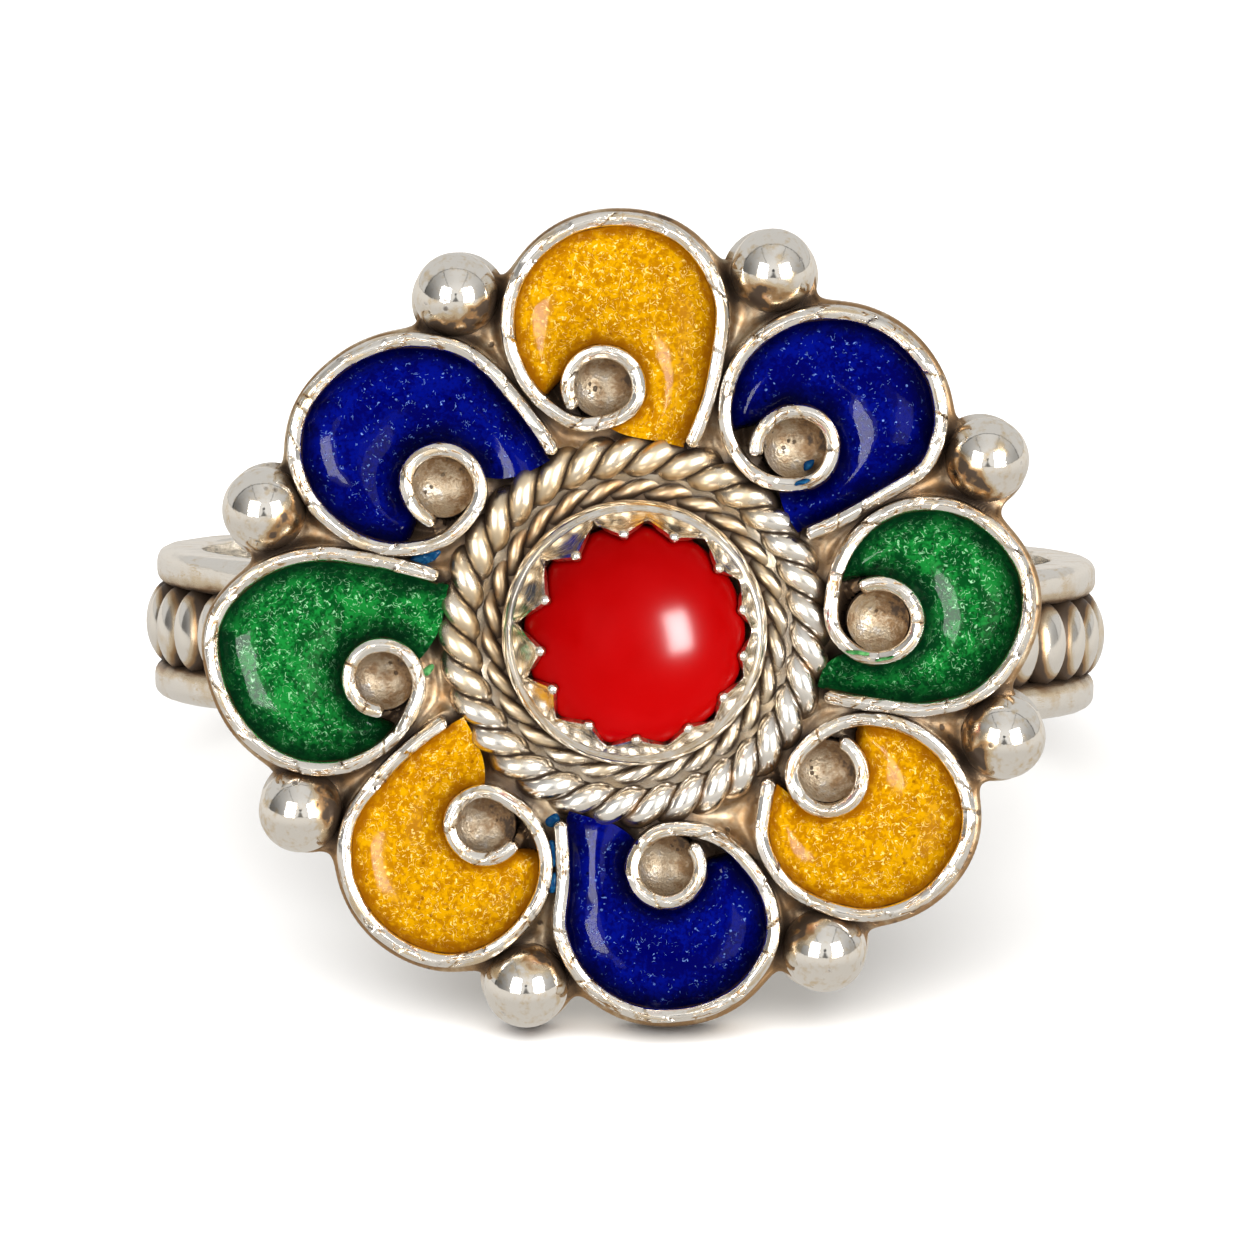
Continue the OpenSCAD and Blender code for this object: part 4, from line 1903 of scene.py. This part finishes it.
@dataclass
class Spills:
    """Traces of enamel in crevices and on the curls.

    Attributes:
        thickness: Thickness of a trace.
        traces: The traces.
    """

    thickness: float = 0.16
    traces: tuple[Spill, ...] = (
        Spill("blue_bottom", (-1.74, -4.72, 1.46), (0.6, 0.24), 97),
        Spill("blue_bottom", (-1.73, -5.36, 1.46), (0.46, 0.2), 80),
        Spill("blue_bottom", (-1.74, -4.02, 1.3), (0.36, 0.28), 30),
        Spill("blue_upper_left", (-4.46, 1.58, 1.1), (0.7, 0.26), 20),
        Spill("green_left", (-4.38, -0.8, 1.25), (0.3, 0.18), 60),
        Spill("green_right", (4.75, -0.42, 1.62), (0.5, 0.1), -8),
        Spill("green_right", (5.3, -0.56, 1.62), (0.4, 0.08), 12),
        Spill("blue_upper_right", (3.57, 3.22, 1.62), (0.34, 0.12), 15),
        Spill("blue_upper_right", (3.72, 3.56, 1.2), (0.3, 0.16), 40),
        Spill("blue_upper_left", (-1.37, 5.05, 1.2), (0.14, 0.1), 0),
    )

    def build(self, shop: Workshop) -> None:
        """Builds and dresses the traces, one piece for each petal that they came from.

        Args:
            shop: The finishes.
        """
        for number, petal in enumerate(PETALS):
            own = [spill for spill in self.traces if spill.petal == petal.name]
            if not own:
                continue
            mesh = bmesh.new()
            inset = mesh.verts.layers.float.new("inset")
            for spill in own:
                size = Matrix.Diagonal((spill.size[0] / 2, spill.size[1] / 2, self.thickness / 2, 1))
                turn = Matrix.Rotation(math.radians(spill.turn), 4, "Z")
                place = Matrix.Translation(spill.place) @ turn @ size
                bmesh.ops.create_icosphere(mesh, subdivisions=4, radius=1, matrix=place)
            for vert in mesh.verts:
                vert[inset] = 1.0
                vert.co.xy += Vector((waver(vert.co, 5, number), waver(vert.co, 5, number + 7))) * 0.05
            film = shop.films[petal.glaze]
            place_piece(mesh, f"enamel_trace_{petal.name}", HEAD, film, petal.node)


# Studio


class Reach(Enum):
    """What a softbox shines on. The rest is kept in its shade by flags."""

    RING = "ring"
    METAL = "metal"
    ENAMEL = "enamel"
    CORAL = "coral"
    FLOOR = "floor"

    @classmethod
    def of(cls, name: str) -> "Reach":
        """Group of an object by its name, less the number that Blender may add.

        Args:
            name: The object's name.

        Returns:
            The group.
        """
        plain = name.split(".")[0]
        if plain.startswith("enamel_"):
            return cls.ENAMEL
        return cls(plain) if plain in ("coral", "floor") else cls.METAL

    def takes(self, name: str) -> bool:
        """Whether an object is lit.

        Args:
            name: The object's name.

        Returns:
            True if it is lit.
        """
        group = Reach.of(name)
        return group is self or (self is Reach.RING and group is not Reach.FLOOR)


@dataclass
class Softbox:
    """A rectangular softbox that faces the head.

    Attributes:
        name: Its name.
        side: Degrees to the right of the head's front.
        rise: Degrees above the head's front.
        distance: Distance from the head in metres.
        width: Width in metres.
        height: Height in metres.
        radiance: Brightness of its face.
        reach: What it shines on.
    """

    name: str
    side: float
    rise: float
    distance: float
    width: float
    height: float
    radiance: float
    reach: Reach

    def build(self, target: Vector, upright: Matrix) -> None:
        """Sets up the softbox.

        Args:
            target: Point that it faces.
            upright: Turn of the head against the frame.
        """
        a, e = math.radians(self.side), math.radians(self.rise)
        way = upright @ Vector((math.sin(a) * math.cos(e), -math.cos(a) * math.cos(e), math.sin(e)))
        light = bpy.data.lights.new(self.name, "AREA")
        light.shape = "RECTANGLE"
        light.size, light.size_y = self.width, self.height
        light.energy = self.radiance * math.pi * self.width * self.height
        lamp = bpy.data.objects.new(self.name, light)
        lamp.location = target + way * self.distance
        lamp.rotation_euler = way.to_track_quat("Z", "Y").to_euler()
        lamp.visible_camera = False
        lamp.visible_diffuse = self.reach in (Reach.RING, Reach.FLOOR)
        bpy.context.scene.collection.objects.link(lamp)
        lit = bpy.data.collections.new(f"{self.name}_lit")
        for piece in bpy.context.scene.objects:
            if piece.type == "MESH" and self.reach.takes(piece.name):
                lit.objects.link(piece)
        lamp.light_linking.receiver_collection = lit


@dataclass
class Room:
    """White light tent round the ring, as the polished balls show it.

    Attributes:
        wall: Brightness of its front.
        dim: Loss of light towards its sides.
        lean: Gain of light from its left to its right.
        back: Brightness of its far side.
        ground: Brightness of its floor.
        seam: Share of the light that a seam keeps.
    """

    wall: float = 0.85
    dim: float = 0.6
    lean: float = 0.12
    back: float = 0.62
    ground: float = 0.62
    seam: float = 0.3

    def build(self) -> None:
        """Builds the room as the world's background."""
        world = bpy.data.worlds.new("room")
        shader = Shader(world)
        way = shader.node("ShaderNodeTexCoord", output="Generated")
        side = shader.node("ShaderNodeSeparateXYZ", inputs={0: way}, output="X")
        front = 0 - shader.node("ShaderNodeSeparateXYZ", inputs={0: way}, output="Y")
        up = shader.node("ShaderNodeSeparateXYZ", inputs={0: way}, output="Z")
        tent = self.wall - side * side * self.dim + side * self.lean - up.step(0.5, 0.95) * 0.15
        sky = tent + front.step(-0.1, -0.2) * (self.back - tent)
        pleat = abs(abs(side) - up * 0.5).step(0.02, 0.008) * up.step(0.5, 0.6)
        hoop, skirting = abs(front + 0.1).step(0.03, 0.01), abs(up).step(0.02, 0.006)
        seams = hoop.most(pleat * front.step(-0.1, 0.0)).most(skirting)
        gap = (abs(side) + up * 0.5).step(0.2, 0.1) * front.step(0.5, 0.7)
        sky = sky * (1 - seams * (1 - self.seam)) * (1 - gap * 0.8)
        ground = self.ground + up.step(-0.5, -0.1) * 0.15
        rise = math.radians(20)
        to_camera = {0: way, 1: (0, -math.cos(rise), math.sin(rise))}
        lens = shader.node("ShaderNodeVectorMath", {"operation": "DOT_PRODUCT"}, to_camera, "Value")
        level = (ground + up.step(-0.01, 0.01) * (sky - ground)) * (1 - lens.step(0.9975, 0.9985) * 0.9)
        tint = shader.mix(up.step(-0.05, 0.1), (1.0, 0.95, 0.88), (1.0, 0.98, 0.95))
        surface = shader.node("ShaderNodeBackground", inputs={"Color": tint, "Strength": level})
        shader.show(surface, "ShaderNodeOutputWorld")
        bpy.context.scene.world = world


@dataclass
class Studio:
    """Floor, lights and camera.

    Attributes:
        camera_rise: Degrees of the camera above the head's front.
        camera_side: Degrees of the camera to the right of it.
        camera_distance: Distance of the camera in metres.
        sensor: Width of the camera's sensor in millimetres.
        head_front: Height of the wires' tops, where the photograph's scale holds.
        floor_side: Side of the floor in metres.
    """

    camera_rise: float = 3.5
    camera_side: float = 0.0
    camera_distance: float = 0.28
    sensor: float = 36.0
    head_front: float = 1.3
    floor_side: float = 3.0

    def floor(self) -> None:
        """Lays the floor under the ring."""
        mesh = bmesh.new()
        bmesh.ops.create_grid(mesh, x_segments=1, y_segments=1, size=self.floor_side / 2)
        data = bpy.data.meshes.new("floor")
        mesh.to_mesh(data)
        mesh.free()
        data.materials.append(FloorFinish().build())
        ground = bpy.data.objects.new("floor", data)
        bpy.context.scene.collection.objects.link(ground)
        ground.visible_glossy = False

    def camera(self) -> None:
        """Sets the camera at the photograph's angle and scale."""
        upright = RING.to_3x3().normalized()
        a, e = math.radians(self.camera_side), math.radians(self.camera_rise)
        back = upright @ Vector((math.sin(a) * math.cos(e), -math.cos(a) * math.cos(e), math.sin(e)))
        middle = IMAGE_SIDE / 2
        x, y = ((middle - BEZEL_PIXEL[0]) * MM_PER_PIXEL, (BEZEL_PIXEL[1] - middle) * MM_PER_PIXEL)
        target = HEAD @ Vector((x, y, self.head_front))
        data = bpy.data.cameras.new("camera")
        data.sensor_width = self.sensor
        data.lens = self.sensor * self.camera_distance / (IMAGE_SIDE * MM_PER_PIXEL * MM)
        data.clip_start = 0.01
        eye = bpy.data.objects.new("camera", data)
        eye.location = target + back * self.camera_distance
        eye.rotation_euler = back.to_track_quat("Z", "Y").to_euler()
        bpy.context.scene.collection.objects.link(eye)
        bpy.context.scene.camera = eye

    def lights(self) -> None:
        """Sets the softboxes and the room."""
        upright = RING.to_3x3().normalized()
        target = HEAD @ Vector((0, 0, 1))
        for box in (
            Softbox("right_softbox", 34.5, 3.5, 0.3, 0.15, 0.2, 8, Reach.RING),
            Softbox("left_softbox", -28.5, 3.5, 0.3, 0.15, 0.2, 1.6, Reach.RING),
            Softbox("right_sheen", 34.5, 3.5, 0.33, 0.165, 0.24, 2, Reach.METAL),
            Softbox("left_sheen", -28.5, 3.5, 0.33, 0.165, 0.24, 4, Reach.METAL),
            Softbox("right_gloss", 37, 3.5, 0.36, 0.15, 0.2, 100, Reach.ENAMEL),
            Softbox("left_gloss", -33, 3.5, 0.36, 0.16, 0.22, 8, Reach.ENAMEL),
            Softbox("coral_gloss", 37, 3.5, 0.39, 0.14, 0.215, 620, Reach.CORAL),
            Softbox("floor_softbox", -8, 38, 0.5, 0.9, 0.5, 4.2, Reach.FLOOR),
        ):
            box.build(target, upright)
        Room().build()

    def build(self) -> None:
        """Builds the whole studio."""
        self.floor()
        self.camera()
        self.lights()
        bpy.context.scene.view_settings.view_transform = "Standard"


class Part(Protocol):
    """Anything of the ring that builds and dresses itself."""

    def build(self, shop: Workshop) -> None:
        """Builds and dresses the part."""


def main() -> None:
    """Builds the ring piece by piece, then the studio."""
    logging.basicConfig(level=logging.INFO, format="%(message)s")
    shop = Workshop()
    coral = Coral()
    parts: tuple[Part, ...] = (
        Band(),
        BackPlate(),
        ScrollWires(),
        Cups(),
        Balls(),
        RopeBed(),
        Rope("outer_rope", 3.75, 0.94, 16),
        Rope("inner_rope", 3.05, 0.6, 13, tarnish=0.2),
        coral,
        Bezel(coral),
        Enamels(),
        Spills(),
    )
    for part in parts:
        part.build(shop)
    Studio().build()


if __name__ == "__main__":
    main()
